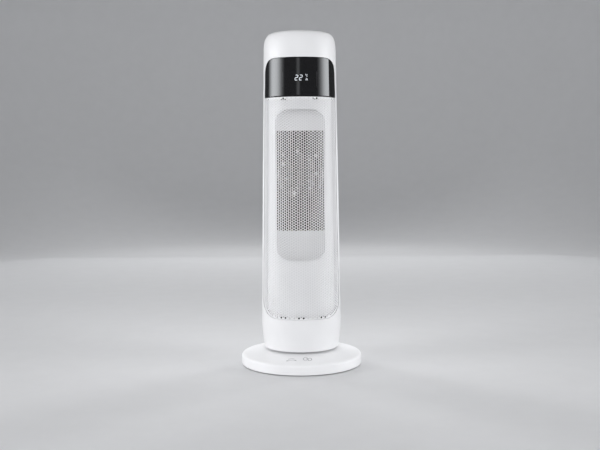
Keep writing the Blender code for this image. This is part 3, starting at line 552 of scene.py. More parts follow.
def whole_shell(name):
    heights = heights_down(SHOULDER_Z, TOWER_BOTTOM)
    flange_low, flange_high, flange_radius = 38.3 * MM, 40.8 * MM, 62 * MM
    lip = 0.5 * MM
    outer = dome_profile(0) + column(heights[:-1], 0)
    bottom_radius = tower_radius(TOWER_BOTTOM)
    rim = column([TOWER_BOTTOM + lip], 0) + [(bottom_radius - 0.15 * MM, TOWER_BOTTOM + 0.12 * MM)]
    rim += [(bottom_radius - lip, TOWER_BOTTOM), (bottom_radius - WALL, TOWER_BOTTOM)]
    rim += column([flange_low], WALL) + [(flange_radius, flange_low), (flange_radius, flange_high)]
    inner_heights = [z for z in reversed(heights) if z > flange_high + 1 * MM]
    inner = column([flange_high, *inner_heights], WALL) + dome_profile(WALL)[::-1]
    return finished(name, lathe(outer + rim + inner))


def tower_core(name):
    inset = 1.2 * MM
    heights = heights_down(SHOULDER_Z, TOWER_BOTTOM)
    return finished(name, lathe(dome_profile(inset) + column(heights, inset) + [(0, TOWER_BOTTOM)]))


def front_shell():
    """Front half with its screw lugs, and the openings for the lens and the grille."""
    shell = whole_shell("shell_front")
    ribs = []
    for x, z in SHELL_SCREWS:
        low_x, high_x = sorted((x * 1.03, x * 1.4))
        ribs.append(((low_x, -12 * MM, z - 1.2 * MM), (high_x, SPLIT_Y - 1 * MM, z + 1.2 * MM)))
    lugs = rods_along_y("front_bosses", SHELL_SCREWS, -12 * MM, SPLIT_Y - GAP, 4.2 * MM)
    keep_inside(join(lugs, boxes("front_ribs", ribs)), tower_core("front_core"))
    half = boxes("front_half", [((-BEYOND, -BEYOND, 0), (BEYOND, SPLIT_Y - GAP / 2, TOWER_TOP + BEYOND))])
    join(keep_inside(shell, half), lugs)
    cut(shell, rods_along_y("front_bores", SHELL_SCREWS, -9 * MM, SPLIT_Y + 1 * MM, 1.5 * MM, 12))
    cut(shell, front_prism("lens_opening", lens_side(0)))
    cut(shell, front_prism("grille_opening", grille_side(-GAP / 2)))
    as_piece(shell, "tower", "white_shell", ["front_shell"], 25)


def rear_shell():
    """Rear half with its screw wells and board posts, and the openings for the intake and the switch."""
    shell = whole_shell("shell_rear")
    half = boxes("rear_half", [((-BEYOND, SPLIT_Y + GAP / 2, 0), (BEYOND, BEYOND, TOWER_TOP + BEYOND))])
    keep_inside(shell, half)
    wells = rods_along_y("rear_wells", SHELL_SCREWS, SPLIT_Y + GAP, 90 * MM, 5.2 * MM)
    posts = rods_along_y("board_posts", BOARD_POSTS, 22 * MM, 90 * MM, 3.5 * MM, 16)
    join(shell, keep_inside(join(wells, posts), tower_core("rear_core")))
    cut(shell, rods_along_y("rear_wide_bores", SHELL_SCREWS, SCREW_HEAD_Y - GAP, 95 * MM, 3.6 * MM))
    thin = (SPLIT_Y - 1 * MM, SCREW_HEAD_Y + 1 * MM, 1.8 * MM, 16)
    cut(shell, rods_along_y("rear_thin_bores", SHELL_SCREWS, *thin))
    cut(shell, prism("intake_opening", intake_loop(0), INTAKE_NEAR, FRONT_REACH))
    z = ROCKER_PIVOT[2]
    opening = ((-10.3 * MM, 60 * MM, z - 7.8 * MM), (10.3 * MM, 90 * MM, z + 7.8 * MM))
    cut(shell, boxes("switch_opening", [opening]))
    as_piece(shell, "tower", "white_shell", ["rear_shell"], 25)


def intake_loop(shrink):
    half, low, high = INTAKE_HALF_WIDTH - shrink, INTAKE_LOW + shrink, INTAKE_HIGH - shrink
    return rounded_loop(half, low, high, INTAKE_CORNER)


def intake():
    """Clip-in intake grille with two columns of slots, and the filter mesh behind it."""
    grille = band("intake_louvres", *INTAKE_BAND, GAP, WALL - GAP)
    keep_inside(grille, prism("intake_edge", intake_loop(GAP), INTAKE_NEAR, FRONT_REACH))
    count = int((INTAKE_HIGH - INTAKE_LOW - 14 * MM) / SLOT_PITCH) + 1
    first = (INTAKE_LOW + INTAKE_HIGH) / 2 - (count - 1) / 2 * SLOT_PITCH
    slots = []
    for row in range(count):
        z = first + row * SLOT_PITCH
        for side in (-1, 1):
            low_x, high_x = sorted((side * 2 * MM, side * 38 * MM))
            slots.append(((low_x, 40 * MM, z - SLOT_HEIGHT / 2), (high_x, 90 * MM, z + SLOT_HEIGHT / 2)))
    cut(grille, boxes("intake_slots", slots, SLOT_ROUNDING))
    as_piece(grille, "tower", "white_shell", ["intake_grille"], 30)
    mesh = band("intake_mesh", *INTAKE_BAND, WALL + GAP, WALL + 1.2 * MM)
    keep_inside(mesh, prism("mesh_edge", intake_loop(2 * MM), INTAKE_NEAR, FRONT_REACH))
    as_piece(mesh, "tower", "filter_mesh", ["dust_filter"])


# Display


def lens():
    """Closed panel on the tower's surface with rounded front edges. Its walls run along Y."""
    rounding, columns = 0.35 * MM, 96
    levels = (
        (lens_side(GAP + rounding), 0),
        (lens_side(GAP + rounding * 0.3), rounding * 0.3),
        (lens_side(GAP), rounding),
        (lens_side(GAP), 2 * MM),
    )
    rows = len(levels[0][0])
    bm = bmesh.new()
    grids = []
    for level, (points, inset) in enumerate(levels):
        grid = []
        for row, (half, z) in enumerate(points):
            radius = tower_radius(z) - inset
            spread = math.asin(half / radius)
            line = []
            for i in range(columns + 1):
                if level in (1, 2) and row not in (0, rows - 1) and i not in (0, columns):
                    line.append(None)
                    continue
                angle = spread * (2 * i / columns - 1)
                line.append(bm.verts.new(around(radius, angle, z)))
            grid.append(line)
        grids.append(grid)
    for grid in (grids[0], grids[3]):
        for row in range(rows - 1):
            for i in range(columns):
                bm.faces.new((grid[row][i], grid[row][i + 1], grid[row + 1][i + 1], grid[row + 1][i]))
    loop = [(0, i) for i in range(columns)] + [(row, columns) for row in range(rows - 1)]
    loop += [(rows - 1, i) for i in range(columns, 0, -1)] + [(row, 0) for row in range(rows - 1, 0, -1)]
    for first, second in zip(grids, grids[1:]):
        for (a, b), (c, d) in zip(loop, loop[1:] + loop[:1]):
            bm.faces.new((first[a][b], first[c][d], second[c][d], second[a][b]))
    finished("lens_panel", bm, "tower", "black_lens", ["display_lens"], 40)


def on_lens(x, z, lift):
    radius = tower_radius(z) + lift
    return (x, -math.sqrt(radius**2 - x**2), z)


def on_base(x, y, lift):
    """A point on the sloping top of the base cover, given where it is seen from above."""
    radius = math.hypot(x, y)
    edge_r, edge_z = on_circle(BASE_EDGE_ROUNDING, 90 - BASE_TILT)
    edge_r, edge_z = BASE_RADIUS - BASE_EDGE_ROUNDING + edge_r, BASE_SHOULDER_Z + edge_z
    share = (radius - SLOPE_RADIUS) / (edge_r - SLOPE_RADIUS)
    return (x, y, SLOPE_TOP_Z + (edge_z - SLOPE_TOP_Z) * share + lift)


def strokes(name, outlines, to_surface, proud, body, slot):
    """Thin printed or lit shapes: each flat outline becomes a closed film that follows a surface."""
    bm = bmesh.new()
    for outline in outlines:
        add_between(bm, *([to_surface(u, v, lift) for u, v in outline] for lift in (proud * 0.2, proud)))
    finished(name, bm, body, slot)


def ribbon(path, width):
    """Outline of a line of this width along a path of (u, v) points: up its left side and back."""
    normals = []
    for i in range(len(path)):
        before, after = path[max(i - 1, 0)], path[min(i + 1, len(path) - 1)]
        along = Vector((after[0] - before[0], after[1] - before[1])).normalized()
        normals.append((-along.y * width / 2, along.x * width / 2))
    left = [(p[0] + n[0], p[1] + n[1]) for p, n in zip(path, normals)]
    right = [(p[0] - n[0], p[1] - n[1]) for p, n in zip(path, normals)]
    return left + right[::-1]


def arc(centre, radius, start, end, steps=12, squeeze=1.0):
    points = []
    for angle in spaced(start, end, steps):
        dx, dy = on_circle(radius, angle)
        points.append((centre[0] + dx, centre[1] + dy * squeeze))
    return points


DIGIT_HEIGHT = 9.4 * MM
DIGIT_WIDTH = 4.6 * MM
DIGIT_LEAN = 0.14
DIGIT_Z = 558.3 * MM
SEGMENT_WIDTH = 0.95 * MM
SEGMENT_GAP = 0.18 * MM
HEAT_LINE_WIDTH = 0.55 * MM


def figure_two(x):
    """Slanted figure 2 of five bars with pointed ends."""
    w, h = DIGIT_WIDTH / 2, DIGIT_HEIGHT / 2
    bars = [((-w, h), (w, h)), ((w, h), (w, 0)), ((-w, 0), (w, 0)), ((-w, -h), (-w, 0)), ((w, -h), (-w, -h))]
    made = []
    for bar in bars:
        start, end = (Vector(p) for p in bar)
        along = (end - start).normalized()
        start, end = start + along * SEGMENT_GAP, end - along * SEGMENT_GAP
        tip = along * SEGMENT_WIDTH / 2
        across = Vector((-tip.y, tip.x))
        points = [start, start + tip + across, end - tip + across]
        points += [end, end - tip - across, start + tip - across]
        made.append([(x + p.x + DIGIT_LEAN * p.y, DIGIT_Z + p.y) for p in points])
    return made


def display_symbols():
    """The lit number, and to its right a degree sign with a C over a symbol of rising heat."""
    digits = figure_two(-6.3 * MM) + figure_two(1.9 * MM)
    unit = [
        ribbon(arc((10.9 * MM, 563.9 * MM), 0.6 * MM, 0, 324, 9), 0.35 * MM),
        ribbon(arc((13.7 * MM, 562.4 * MM), 1.6 * MM, 50, 310, 12), 0.5 * MM),
    ]
    heat = []
    for x, rise in ((11.5 * MM, 1.3 * MM), (12.9 * MM, 3.2 * MM), (14.3 * MM, 1.3 * MM)):
        path = [(x + 0.25 * MM * math.sin(t * 2 * math.pi), 554.6 * MM + rise * t) for t in spaced(0, 1, 8)]
        heat.append(ribbon(path, HEAT_LINE_WIDTH))
    heat.append(ribbon([(10.6 * MM, 553.8 * MM), (15.2 * MM, 553.8 * MM)], HEAT_LINE_WIDTH))
    for name, shapes in (("digits", digits), ("unit", unit), ("heat_symbol", heat)):
        strokes(f"display_{name}", shapes, on_lens, 0.07 * MM, "tower", "display_light")


# Perforated outlet grille

HOLE_PITCH = 5 * MM
HOLE_RADIUS = 2.1 * MM
HOLE_POINTS = 10
COLUMN_ANGLE = math.radians(3.34)
COLUMNS_EACH_SIDE = 22
GRILLE_OUTER_INSET = 0.8 * MM
GRILLE_INNER_INSET = 2 * MM
GRILLE_EDGE_GAP = 0.45 * MM
SOLID_EDGE = 0.75 * MM
ROW_SHIFT = 0.95 * MM


def half_width_at(side, z):
    """Half width of an outline at a height, or -1 outside it."""
    for (x0, z0), (x1, z1) in zip(side, side[1:]):
        if z0 <= z <= z1 and z1 > z0:
            return x0 + (x1 - x0) * (z - z0) / (z1 - z0)
    return -1


def ring_pattern():
    """Triangles between a cell's six corners and its hole's points, as indices into corners + points."""
    made, corner, point = [], 0, 0
    while corner < 6 or point < HOLE_POINTS:
        next_corner = (corner + 1) / 6
        next_point = (point + 1) / HOLE_POINTS
        if corner < 6 and (point >= HOLE_POINTS or next_corner <= next_point + 1e-9):
            made.append((corner % 6, (corner + 1) % 6, 6 + point % HOLE_POINTS))
            corner += 1
        else:
            made.append((corner % 6, 6 + (point + 1) % HOLE_POINTS, 6 + point % HOLE_POINTS))
            point += 1
    return made


def perforated_grille():
    """Curved steel sheet with staggered round holes and a solid edge."""
    side = grille_side(GRILLE_EDGE_GAP)
    pattern = ring_pattern()
    points, faces, shared = [], [], {}

    def place(u, v):
        """Angle and height of a place in the pattern, in thirds of a column and half rows."""
        return u * COLUMN_ANGLE / 3, GRILLE_LOW + ROW_SHIFT + v * HOLE_PITCH / 2

    def add(angle, z):
        """Adds the same point on the sheet's outer and inner face; the inner one is the next index."""
        for inset in (GRILLE_OUTER_INSET, GRILLE_INNER_INSET):
            points.append(around(tower_radius(z) - inset, angle, z))
        return len(points) - 2

    def corner(u, v):
        if (u, v) not in shared:
            shared[u, v] = add(*place(u, v))
        return shared[u, v]

    def on_both_faces(*indices):
        faces.append(indices)
        faces.append(tuple(index + 1 for index in reversed(indices)))

    rows = int((LENS_LOW - GRILLE_LOW) / HOLE_PITCH) + 3
    edges = []
    for col in range(-COLUMNS_EACH_SIDE, COLUMNS_EACH_SIDE + 1):
        for row in range(-2, rows):
            v = 2 * row + col % 2
            u = 3 * col
            ring = [(u + 2, v), (u + 1, v + 1), (u - 1, v + 1), (u - 2, v), (u - 1, v - 1), (u + 1, v - 1)]
            corners = [corner(*key) for key in ring]
            edges += zip(corners, corners[1:] + corners[:1])
            angle, z = place(u, v)
            hole = []
            for i in range(HOLE_POINTS):
                dx, dz = on_circle(HOLE_RADIUS, 360 * i / HOLE_POINTS)
                hole.append((angle + dx / (tower_radius(z) - GRILLE_OUTER_INSET), z + dz))
            if not all(inside(side, a, h) for a, h in hole):
                on_both_faces(*corners)
                continue
            indices = corners + [add(a, h) for a, h in hole]
            for triangle in pattern:
                on_both_faces(*(indices[i] for i in triangle))
            for i in range(HOLE_POINTS):
                a, b = indices[6 + i], indices[6 + (i + 1) % HOLE_POINTS]
                faces.append((a, b, b + 1, a + 1))
    known = set(edges)
    faces += [(b, a, a + 1, b + 1) for a, b in edges if (b, a) not in known]
    sheet = finished("grille_sheet", bm_from(points, faces))
    keep_inside(sheet, front_prism("grille_edge", side))
    as_piece(sheet, "tower", "white_grille", ["front_grille"], 30)


def inside(side, angle, z):
    """Whether a hole's point keeps clear of the sheet's edge."""
    x = abs((tower_radius(z) - GRILLE_OUTER_INSET) * math.sin(angle))
    near = min(half_width_at(side, z - SOLID_EDGE), half_width_at(side, z + SOLID_EDGE))
    return x < near - SOLID_EDGE * math.cos(angle)


def upright_slot(left, right):
    """Helper box over the whole front between two X positions."""
    return prism("upright_slot", [(right, 0), (right, 1), (left, 1), (left, 0)], -FRONT_REACH, 0)


def dark_hole_backings():
    """Black pieces behind some of the lowest and highest holes, which darken them; the pair at the lower
    corners is painted shade of the gap round the grille. White strips sit beside the highest pieces.
    """
    foot = GRILLE_LOW + 0.6 * MM
    head = LENS_LOW - 0.5 * MM
    spots = [(foot, foot + 4 * MM, x, 7) for x in (-34.5, 0, 42)]
    # The pair at the lower corners: painted shade of the gap round the grille.
    spots += [(foot + 5.5 * MM, foot + 12.5 * MM, x, 5) for x in (-67.5, 67.5)]
    spots += [(head - 4.4 * MM, head, x, 4.6) for x in (-31.5, 29.5)]
    for number, (low, high, middle, half) in enumerate(spots, 1):
        clip = band(f"dark_hole_backing_{number}", low, high, 2.4 * MM, 3.4 * MM)
        keep_inside(clip, upright_slot((middle - half) * MM, (middle + half) * MM))
        as_piece(clip, "tower", "black_plastic")
    for number, (left, right) in enumerate(((-60, -36.7), (-26.3, 24.3), (34.7, 60)), 1):
        strip = band(f"grille_top_strip_{number}", head - 6.5 * MM, head, 2.35 * MM, 2.75 * MM)
        keep_inside(strip, upright_slot(left * MM, right * MM))
        as_piece(strip, "tower", "white_inner")


def air_baffle():
    """White sheet close behind the grille, open in front of the heater."""
    sheet = band("baffle_sheet", 90 * MM, 530 * MM, 6.5 * MM, 8 * MM)
    edge = panel_side(93 * MM, 528 * MM, 0.84, 0, None, None)
    keep_inside(sheet, front_prism("baffle_edge", edge))
    loop = rounded_loop(47 * MM, 212 * MM, 500 * MM, 24 * MM)
    cut(sheet, prism("baffle_opening", loop, -FRONT_REACH, 0))
    as_piece(sheet, "tower", "white_inner", ["air_baffle"])


# Heater and fan


def fin_bank(number, left):
    """Thin corrugated strip between two ceramic bars, with round bends."""
    total = FIN_FOLDS * FIN_POINTS_PER_FOLD
    centre, reach = left + FIN_WIDTH / 2, (FIN_WIDTH - FIN_SHEET) / 2
    path = []
    for i in range(total + 1):
        swing = math.cos(math.pi * i / FIN_POINTS_PER_FOLD)
        shaped = math.copysign(abs(swing) ** FIN_BEND, swing)
        path.append((centre - reach * shaped, CORE_LOW + (CORE_HIGH - CORE_LOW) * i / total))
    outline = ribbon(path, FIN_SHEET)
    count = len(outline)
    points = [(x, y, z) for y in (CORE_FRONT_Y, CORE_FRONT_Y + CORE_DEPTH) for x, z in outline]
    faces = [(i, (i + 1) % count, (i + 1) % count + count, i + count) for i in range(count)]
    for i in range(count // 2 - 1):
        a, b, c, d = i, i + 1, count - 2 - i, count - 1 - i
        faces.append((d, c, b, a))
        faces.append((a + count, b + count, c + count, d + count))
    finished(f"fins_{number}", bm_from(points, faces), "tower", "aluminium", [f"fin_bank_{number}"])


def heater_core():
    pitch = FIN_WIDTH + BAR_WIDTH + 2 * GAP
    left = -(FIN_BANKS * FIN_WIDTH + (FIN_BANKS - 1) * (BAR_WIDTH + 2 * GAP)) / 2
    for number in range(FIN_BANKS):
        fin_bank(number + 1, left + number * pitch)


# Each painted glint bead's place in X and Z, and its half width and half height, in millimetres
BEADS = (
    (-5, 421, 3.2, 5.5), (-33, 413, 3.2, 3), (-33, 397, 3.4, 4), (30, 412, 3.6, 4.2),
    (18, 404, 2.6, 2.6), (31, 378, 3.6, 4), (16, 363, 2.8, 3), (19, 350, 3, 3.8),
    (-6, 351, 2.8, 3.2), (-11, 340, 3.4, 6), (-27, 368, 2.6, 2.8),
)


def painted_glint_beads():
    """Pale blobs on the front of the heater core, seen as flecks through the grille: painted glints."""
    bm = bmesh.new()
    for number, (x, z, half_width, half_height) in enumerate(BEADS):
        for vert in bmesh.ops.create_icosphere(bm, subdivisions=3, radius=1)["verts"]:
            across, out, up = vert.co
            swell = MM * (1 + 0.2 * math.sin(3 * across + 1.7 * number) * math.cos(4 * up + number))
            depth = CORE_FRONT_Y - 0.3 * MM + 1.8 * MM * out
            side, height = 0.9 * half_width * swell * across, 0.9 * half_height * swell * up
            vert.co = (x * MM + side, depth, z * MM + height)
    coat(finished("painted_glint_beads", bm, "tower", "rubber"), LOOKS["glint_paint"])


def blade(number):
    """Helper: a swept, twisted and cambered blade, that grows from the hub to the fan's radius."""
    steps, across = 14, 10
    root, half_sheet = 12.6 * MM, 0.7 * MM
    turn = 2 * math.pi * number / FAN_BLADES
    grid = []
    for i in range(steps + 1):
        share = i / steps
        radius = root + (FAN_RADIUS - root) * share
        sweep = 0.28 * share**1.5
        pitch = math.radians(42 - 16 * share)
        chord = (13 + 11 * math.sin(math.pi * min(share * 0.62 + 0.08, 1))) * MM * (1 - 0.22 * share**6)
        line = []
        for j in range(across + 1):
            along = j / across - 0.5
            camber = 1.5 * MM * (1 - (2 * along) ** 2)
            offset = chord * along * math.cos(pitch)
            height = chord * along * math.sin(pitch) * 0.8 + camber
            angle = turn + sweep + offset / radius
            line.append((radius * math.cos(angle), radius * math.sin(angle), height))
        grid.append(line)
    bm = bmesh.new()
    sheets = []
    for lift in (-half_sheet, half_sheet):
        sheets.append([[bm.verts.new((x, y, z + lift)) for x, y, z in line] for line in grid])
    low, high = sheets
    for i in range(steps):
        for j in range(across):
            bm.faces.new((low[i][j], low[i][j + 1], low[i + 1][j + 1], low[i + 1][j]))
            bm.faces.new((high[i + 1][j], high[i + 1][j + 1], high[i][j + 1], high[i][j]))
    for i in range(steps):
        for j in (0, across):
            bm.faces.new((low[i][j], low[i + 1][j], high[i + 1][j], high[i][j]))
    for j in range(across):
        for i in (0, steps):
            bm.faces.new((low[i][j], high[i][j], high[i][j + 1], low[i][j + 1]))
    return finished(f"blade_{number}", bm)


def impeller():
    """Blades on a rounded hub, with the shaft into the motor."""
    radius, half = 14 * MM, 8 * MM
    shaft_radius, shaft_end = 2.5 * MM, 21 * MM
    hub = [(0, -half), (9 * MM, -half), (12.6 * MM, -half + 0.6 * MM), (radius, -half + 2.4 * MM)]
    hub += [(radius, half), (shaft_radius, half), (shaft_radius, shaft_end), (0, shaft_end)]
    wheel = finished("impeller_moulding", lathe(hub, 56))
    for number in range(FAN_BLADES):
        join(wheel, blade(number))
    wheel.data.transform(Matrix.Translation((0, FAN_AXIS_Y, FAN_Z)) @ BACKWARDS)
    as_piece(wheel, "fan", "grey_plastic", ["fan_impeller"], 35)


# Power switch, screws and feet


def power_switch():
    """Housing with a rim and a hollow, and the rocker in it."""
    z = ROCKER_PIVOT[2]
    housing, rim, hollow = (
        boxes(f"switch_{name}", [((-x, near, z - tall), (x, far, z + tall))], bevel)
        for name, x, near, far, tall, bevel in (
            ("bezel", 9.9 * MM, 62 * MM, 78.6 * MM, 7.4 * MM, 0.3 * MM),
            ("rim", 12 * MM, 78.4 * MM, 80 * MM, 9.5 * MM, 0.6 * MM),
            ("hollow", 8.2 * MM, 66 * MM, 90 * MM, 6.3 * MM, 0.4 * MM),
        )
    )
    cut(join(housing, rim), hollow)
    as_piece(housing, "tower", "black_plastic", ["switch_housing"], 30)
    rocker_cap()


ROCKER_HALF_WIDTH = 7.8 * MM
ROCKER_HALF_FACE = 5.1 * MM
ROCKER_FACE_OUT = 6 * MM
ROCKER_HOLLOW = 1.6 * MM
MARK_WIDTH = 0.45 * MM


def rocker_point(x, across, out):
    """A point of the rocker, given across its tilt and outwards from its pivot."""
    cos, sin = math.cos(ROCKER_REST_TILT), math.sin(ROCKER_REST_TILT)
    return (x, ROCKER_PIVOT[1] + out * cos - across * sin, ROCKER_PIVOT[2] + out * sin + across * cos)


def on_rocker(x, across, lift):
    """A point on the rocker's hollowed face."""
    out = ROCKER_FACE_OUT - ROCKER_HOLLOW * (1 - (across / ROCKER_HALF_FACE) ** 2)
    return rocker_point(x, across, out + lift)


def rocker_cap():
    """Rocker with a hollowed face, and generic on and off marks on it."""
    back = [(a * MM, out * MM) for a, out in ((5.3, -1), (3, -6), (-3, -6), (-5.3, -1))]
    ends = []
    for x in (-ROCKER_HALF_WIDTH, ROCKER_HALF_WIDTH):
        face = [on_rocker(x, across, 0) for across in spaced(-ROCKER_HALF_FACE, ROCKER_HALF_FACE, 16)]
        ends.append(face + [rocker_point(x, across, out) for across, out in back])
    bm = bmesh.new()
    add_between(bm, *ends)
    finished("rocker_cap", bm, "rocker", "black_plastic", ["power_rocker"], 30)
    on_mark = ribbon([(0, 1.7 * MM), (0, 4.1 * MM)], MARK_WIDTH)
    off_mark = ribbon(arc((0, -2.9 * MM), 1.25 * MM, 0, 350, 20), MARK_WIDTH)
    strokes("rocker_marks", [on_mark, off_mark], on_rocker, 0.12 * MM, "rocker", "white_inner")


THREAD_PITCH = 0.9 * MM


def screw(node_name, head_height, radius, length, matrix, body):
    """Pan-head screw with a cross recess and a threaded shank, in place of a solid."""
    head_radius = 3 * MM
    profile = [(0, head_height)]
    for i in range(1, 7):
        angle = math.radians(90 * i / 6)
        profile.append((head_radius * math.sin(angle), head_height * (0.45 + 0.55 * math.cos(angle))))
    profile += [(head_radius, 0), (radius, 0)]
    root = radius * 0.86
    for i in range(int((length - 2 * MM) / THREAD_PITCH)):
        z = -0.4 * MM - i * THREAD_PITCH
        profile += [(root, z), (radius, z - 0.35 * MM), (radius, z - 0.5 * MM), (root, z - 0.85 * MM)]
    profile += [(radius * 0.8, -length + 1.4 * MM), (0, -length)]
    fastener = finished(f"cross_{node_name}", lathe(profile, 28))
    arm, width, deep = head_radius * 0.62, head_radius * 0.13, head_height * 0.35
    bars = [((-arm, -width, deep), (arm, width, 5 * MM)), ((-width, -arm, deep), (width, arm, 5 * MM))]
    cut(fastener, join(boxes("cross_a", bars[:1]), boxes("cross_b", bars[1:])))
    fastener.data.transform(matrix)
    as_piece(fastener, body, "zinc_steel", [node_name], 30)


def screws():
    """Four screws into the tower's back, and three into the base from below, each turned differently."""
    rows = []
    for number, (x, z) in enumerate(SHELL_SCREWS, 1):
        spot = Matrix.Translation((x, SCREW_HEAD_Y, z)) @ BACKWARDS
        rows.append((f"shell_screw_{number}", spot, 17 * number, (2 * MM, 1.2 * MM, 18 * MM), "tower"))
    for number, degrees in enumerate(BASE_SCREW_ANGLES, 1):
        place = (*on_circle(FASTENER_RADIUS, degrees), 2.2 * MM)
        spot = Matrix.Translation(place) @ Matrix.Rotation(math.pi, 4, "X")
        rows.append((f"base_screw_{number}", spot, 23 * number, (1.5 * MM, 1.3 * MM, 11 * MM), "base"))
    for name, spot, degrees, sizes, body in rows:
        spin = Matrix.Rotation(math.radians(degrees), 4, "Z")
        screw(name, *sizes, spot @ spin, body)


def feet():
    """Rubber feet with a soft edge and one tread ring."""
    points = [(0, 7.4), (1.1, 7.3), (1.5, 7), (2.9, 5), (2.8, 4.8), (1.9, 4.8), (1.9, 2.2), (7.3, 2.2)]
    points += [(7.5, 2), (7.45, 1.2), (7.1, 0.3), (6.6, 0), (5, 0), (4.7, 0.4), (4.1, 0.4), (3.8, 0), (0, 0)]
    profile = [(radius * MM, z * MM) for radius, z in points]
    for number, degrees in enumerate((45, 135, 225, 315), 1):
        foot = finished(f"rubber_foot_{number}", lathe(profile, 40))
        foot.data.transform(Matrix.Translation((*on_circle(FASTENER_RADIUS, degrees), 0)))
        as_piece(foot, "base", "rubber", [f"foot_{number}"], 30)


# Base


def base_moulding():
    """Domed base cover with a round edge, the bearing groove, screw bosses and the cord outlet."""
    centre = (BASE_RADIUS - BASE_EDGE_ROUNDING, BASE_SHOULDER_Z)
    outer = [on_circle(BASE_EDGE_ROUNDING, angle) for angle in spaced(90 - BASE_TILT, 0, 18)]
    outer = [(centre[0] + r, centre[1] + z) for r, z in outer]
    inner_radius = outer[0][0] - WALL
    groove_z, land_underside = BASE_LAND_Z - 1.6 * MM, BASE_LAND_Z - 4.1 * MM
    slope = (outer[0][1] - SLOPE_TOP_Z) / (outer[0][0] - SLOPE_RADIUS)
    hole, groove_in, groove_out = 20.6 * MM, 35.6 * MM, 52.4 * MM
    inside = BASE_RADIUS - WALL
    profile = [(hole, BASE_LAND_Z), (groove_in, BASE_LAND_Z), (groove_in, groove_z), (groove_out, groove_z)]
    profile += [(groove_out, BASE_LAND_Z), (60 * MM, BASE_LAND_Z), (68 * MM, 31.75 * MM)]
    profile += [(SLOPE_RADIUS, SLOPE_TOP_Z), (95 * MM, SLOPE_TOP_Z + slope * (95 * MM - SLOPE_RADIUS))]
    profile += outer
    profile += [(BASE_RADIUS, 9 * MM), (BASE_RADIUS, 3 * MM), (BASE_RADIUS - 0.12 * MM, 2.4 * MM)]
    profile += [(BASE_RADIUS - 0.5 * MM, 1.8 * MM), (BASE_RADIUS - 1.2 * MM, 1.5 * MM), (inside, 1.5 * MM)]
    profile += [(inside, BASE_SHOULDER_Z), (inner_radius, outer[0][1] - WALL)]
    profile += [(SLOPE_RADIUS, SLOPE_TOP_Z - WALL), (58 * MM, land_underside), (hole, land_underside)]
    cover = finished("base_moulding", lathe(profile, closed=True))
    places = [on_circle(FASTENER_RADIUS, degrees) for degrees in BASE_SCREW_ANGLES]
    join(cover, rods("base_bosses", [((*xy, 4.8 * MM), (*xy, 23.5 * MM), 4 * MM) for xy in places]))
    cut(cover, rods("base_bores", [((*xy, 3.5 * MM), (*xy, 16 * MM), 1.7 * MM) for xy in places], 16))
    cut(cover, rods("cord_outlet", [((0, 108 * MM, 11 * MM), (0, 125 * MM, 11 * MM), 5 * MM)]))
    as_piece(cover, "base", "white_shell", ["base_cover"], 30)
    # The base cover wears the lighter copy of the shell's white: painted light.
    coat(cover, LOOKS["white_shell_lit_copy"])


def base_icons():
    """Two generic touch symbols printed on the base: swing on the left, air flow on the right."""
    line = 1.5 * MM
    x, y = -19.4 * MM, -92 * MM
    swing = [
        ribbon(arc((x, y - 6.5 * MM), 10 * MM, 52, 128, 16, 0.9), line),
        ribbon(arc((x, y - 17.5 * MM), 16 * MM, 62, 118, 16, 0.9), line),
    ]
    for side in (-1, 1):
        tip = (x + side * 8.6 * MM, y - 5.4 * MM)
        arrow = [(side * 1.4, -1.6), (-side * 0.4, 2.6), (-side * 3.2, -1)]
        swing.append([(tip[0] + u * MM, tip[1] + v * MM) for u, v in arrow][::side])
    strokes("icon_swing", swing, on_base, 0.06 * MM, "base", "icon_print")
    x = 11.2 * MM
    flow = [
        ribbon(arc((x - 4.3 * MM, y + 0.4 * MM), 3.7 * MM, 15, 335, 24, 1.5), line),
        ribbon(arc((x + 4.5 * MM, y - 0.8 * MM), 3.3 * MM, 195, 515, 24, 1.5), line),
        ribbon([(x - 1 * MM, y + 6.2 * MM), (x + 1.4 * MM, y - 6.2 * MM)], line),
    ]
    strokes("icon_air_flow", flow, on_base, 0.06 * MM, "base", "icon_print")


# Studio


REFLECTOR_RADIUS = 2.2


def reflector(name, low, high, strength, glow):
    """Upright glowing strip round the axis: glow lists (azimuth in degrees, brightness)."""
    bm = bmesh.new()
    layer = bm.verts.layers.float.new("glow")
    lines = []
    for azimuth, value in glow:
        line = []
        for z in (low, high):
            vert = bm.verts.new(around(REFLECTOR_RADIUS, math.radians(azimuth), z))
            vert[layer] = value
            line.append(vert)
        lines.append(line)
    for (a, b), (c, d) in zip(lines, lines[1:]):
        bm.faces.new((a, c, d, b))
    mesh = bpy.data.meshes.new(name)
    bm.to_mesh(mesh)
    bm.free()
    strip = bpy.data.objects.new(name, mesh)
    SCENE.collection.objects.link(strip)
    made, tree, _ = start_material(name)
    tree.nodes.clear()
    level = node(tree, "Attribute", None, {"attribute_name": "glow"}).outputs["Fac"]
    bright = {"Color": (0.94, 0.97, 1, 1), "Strength": maths(tree, "MULTIPLY", level, strength)}
    node(tree, "OutputMaterial", {"Surface": node(tree, "Emission", bright).outputs[0]})
    mesh.materials.append(made)
    strip.visible_camera = False
    strip.visible_shadow = False
    strip.visible_diffuse = False


def soft_light(name, place, target, size, power, spread):
    """Area light aimed at a target. Neither it nor its reflection shows."""
    lamp = bpy.data.lights.new(name, "AREA")
    lamp.shape = "RECTANGLE"
    lamp.size, lamp.size_y = size
    lamp.energy = power
    lamp.spread = math.radians(spread)
    thing = bpy.data.objects.new(name, lamp)
    SCENE.collection.objects.link(thing)
    thing.location = place
    thing.rotation_euler = (Vector(target) - Vector(place)).to_track_quat("-Z", "Y").to_euler()
    thing.visible_camera = False
    thing.visible_glossy = False


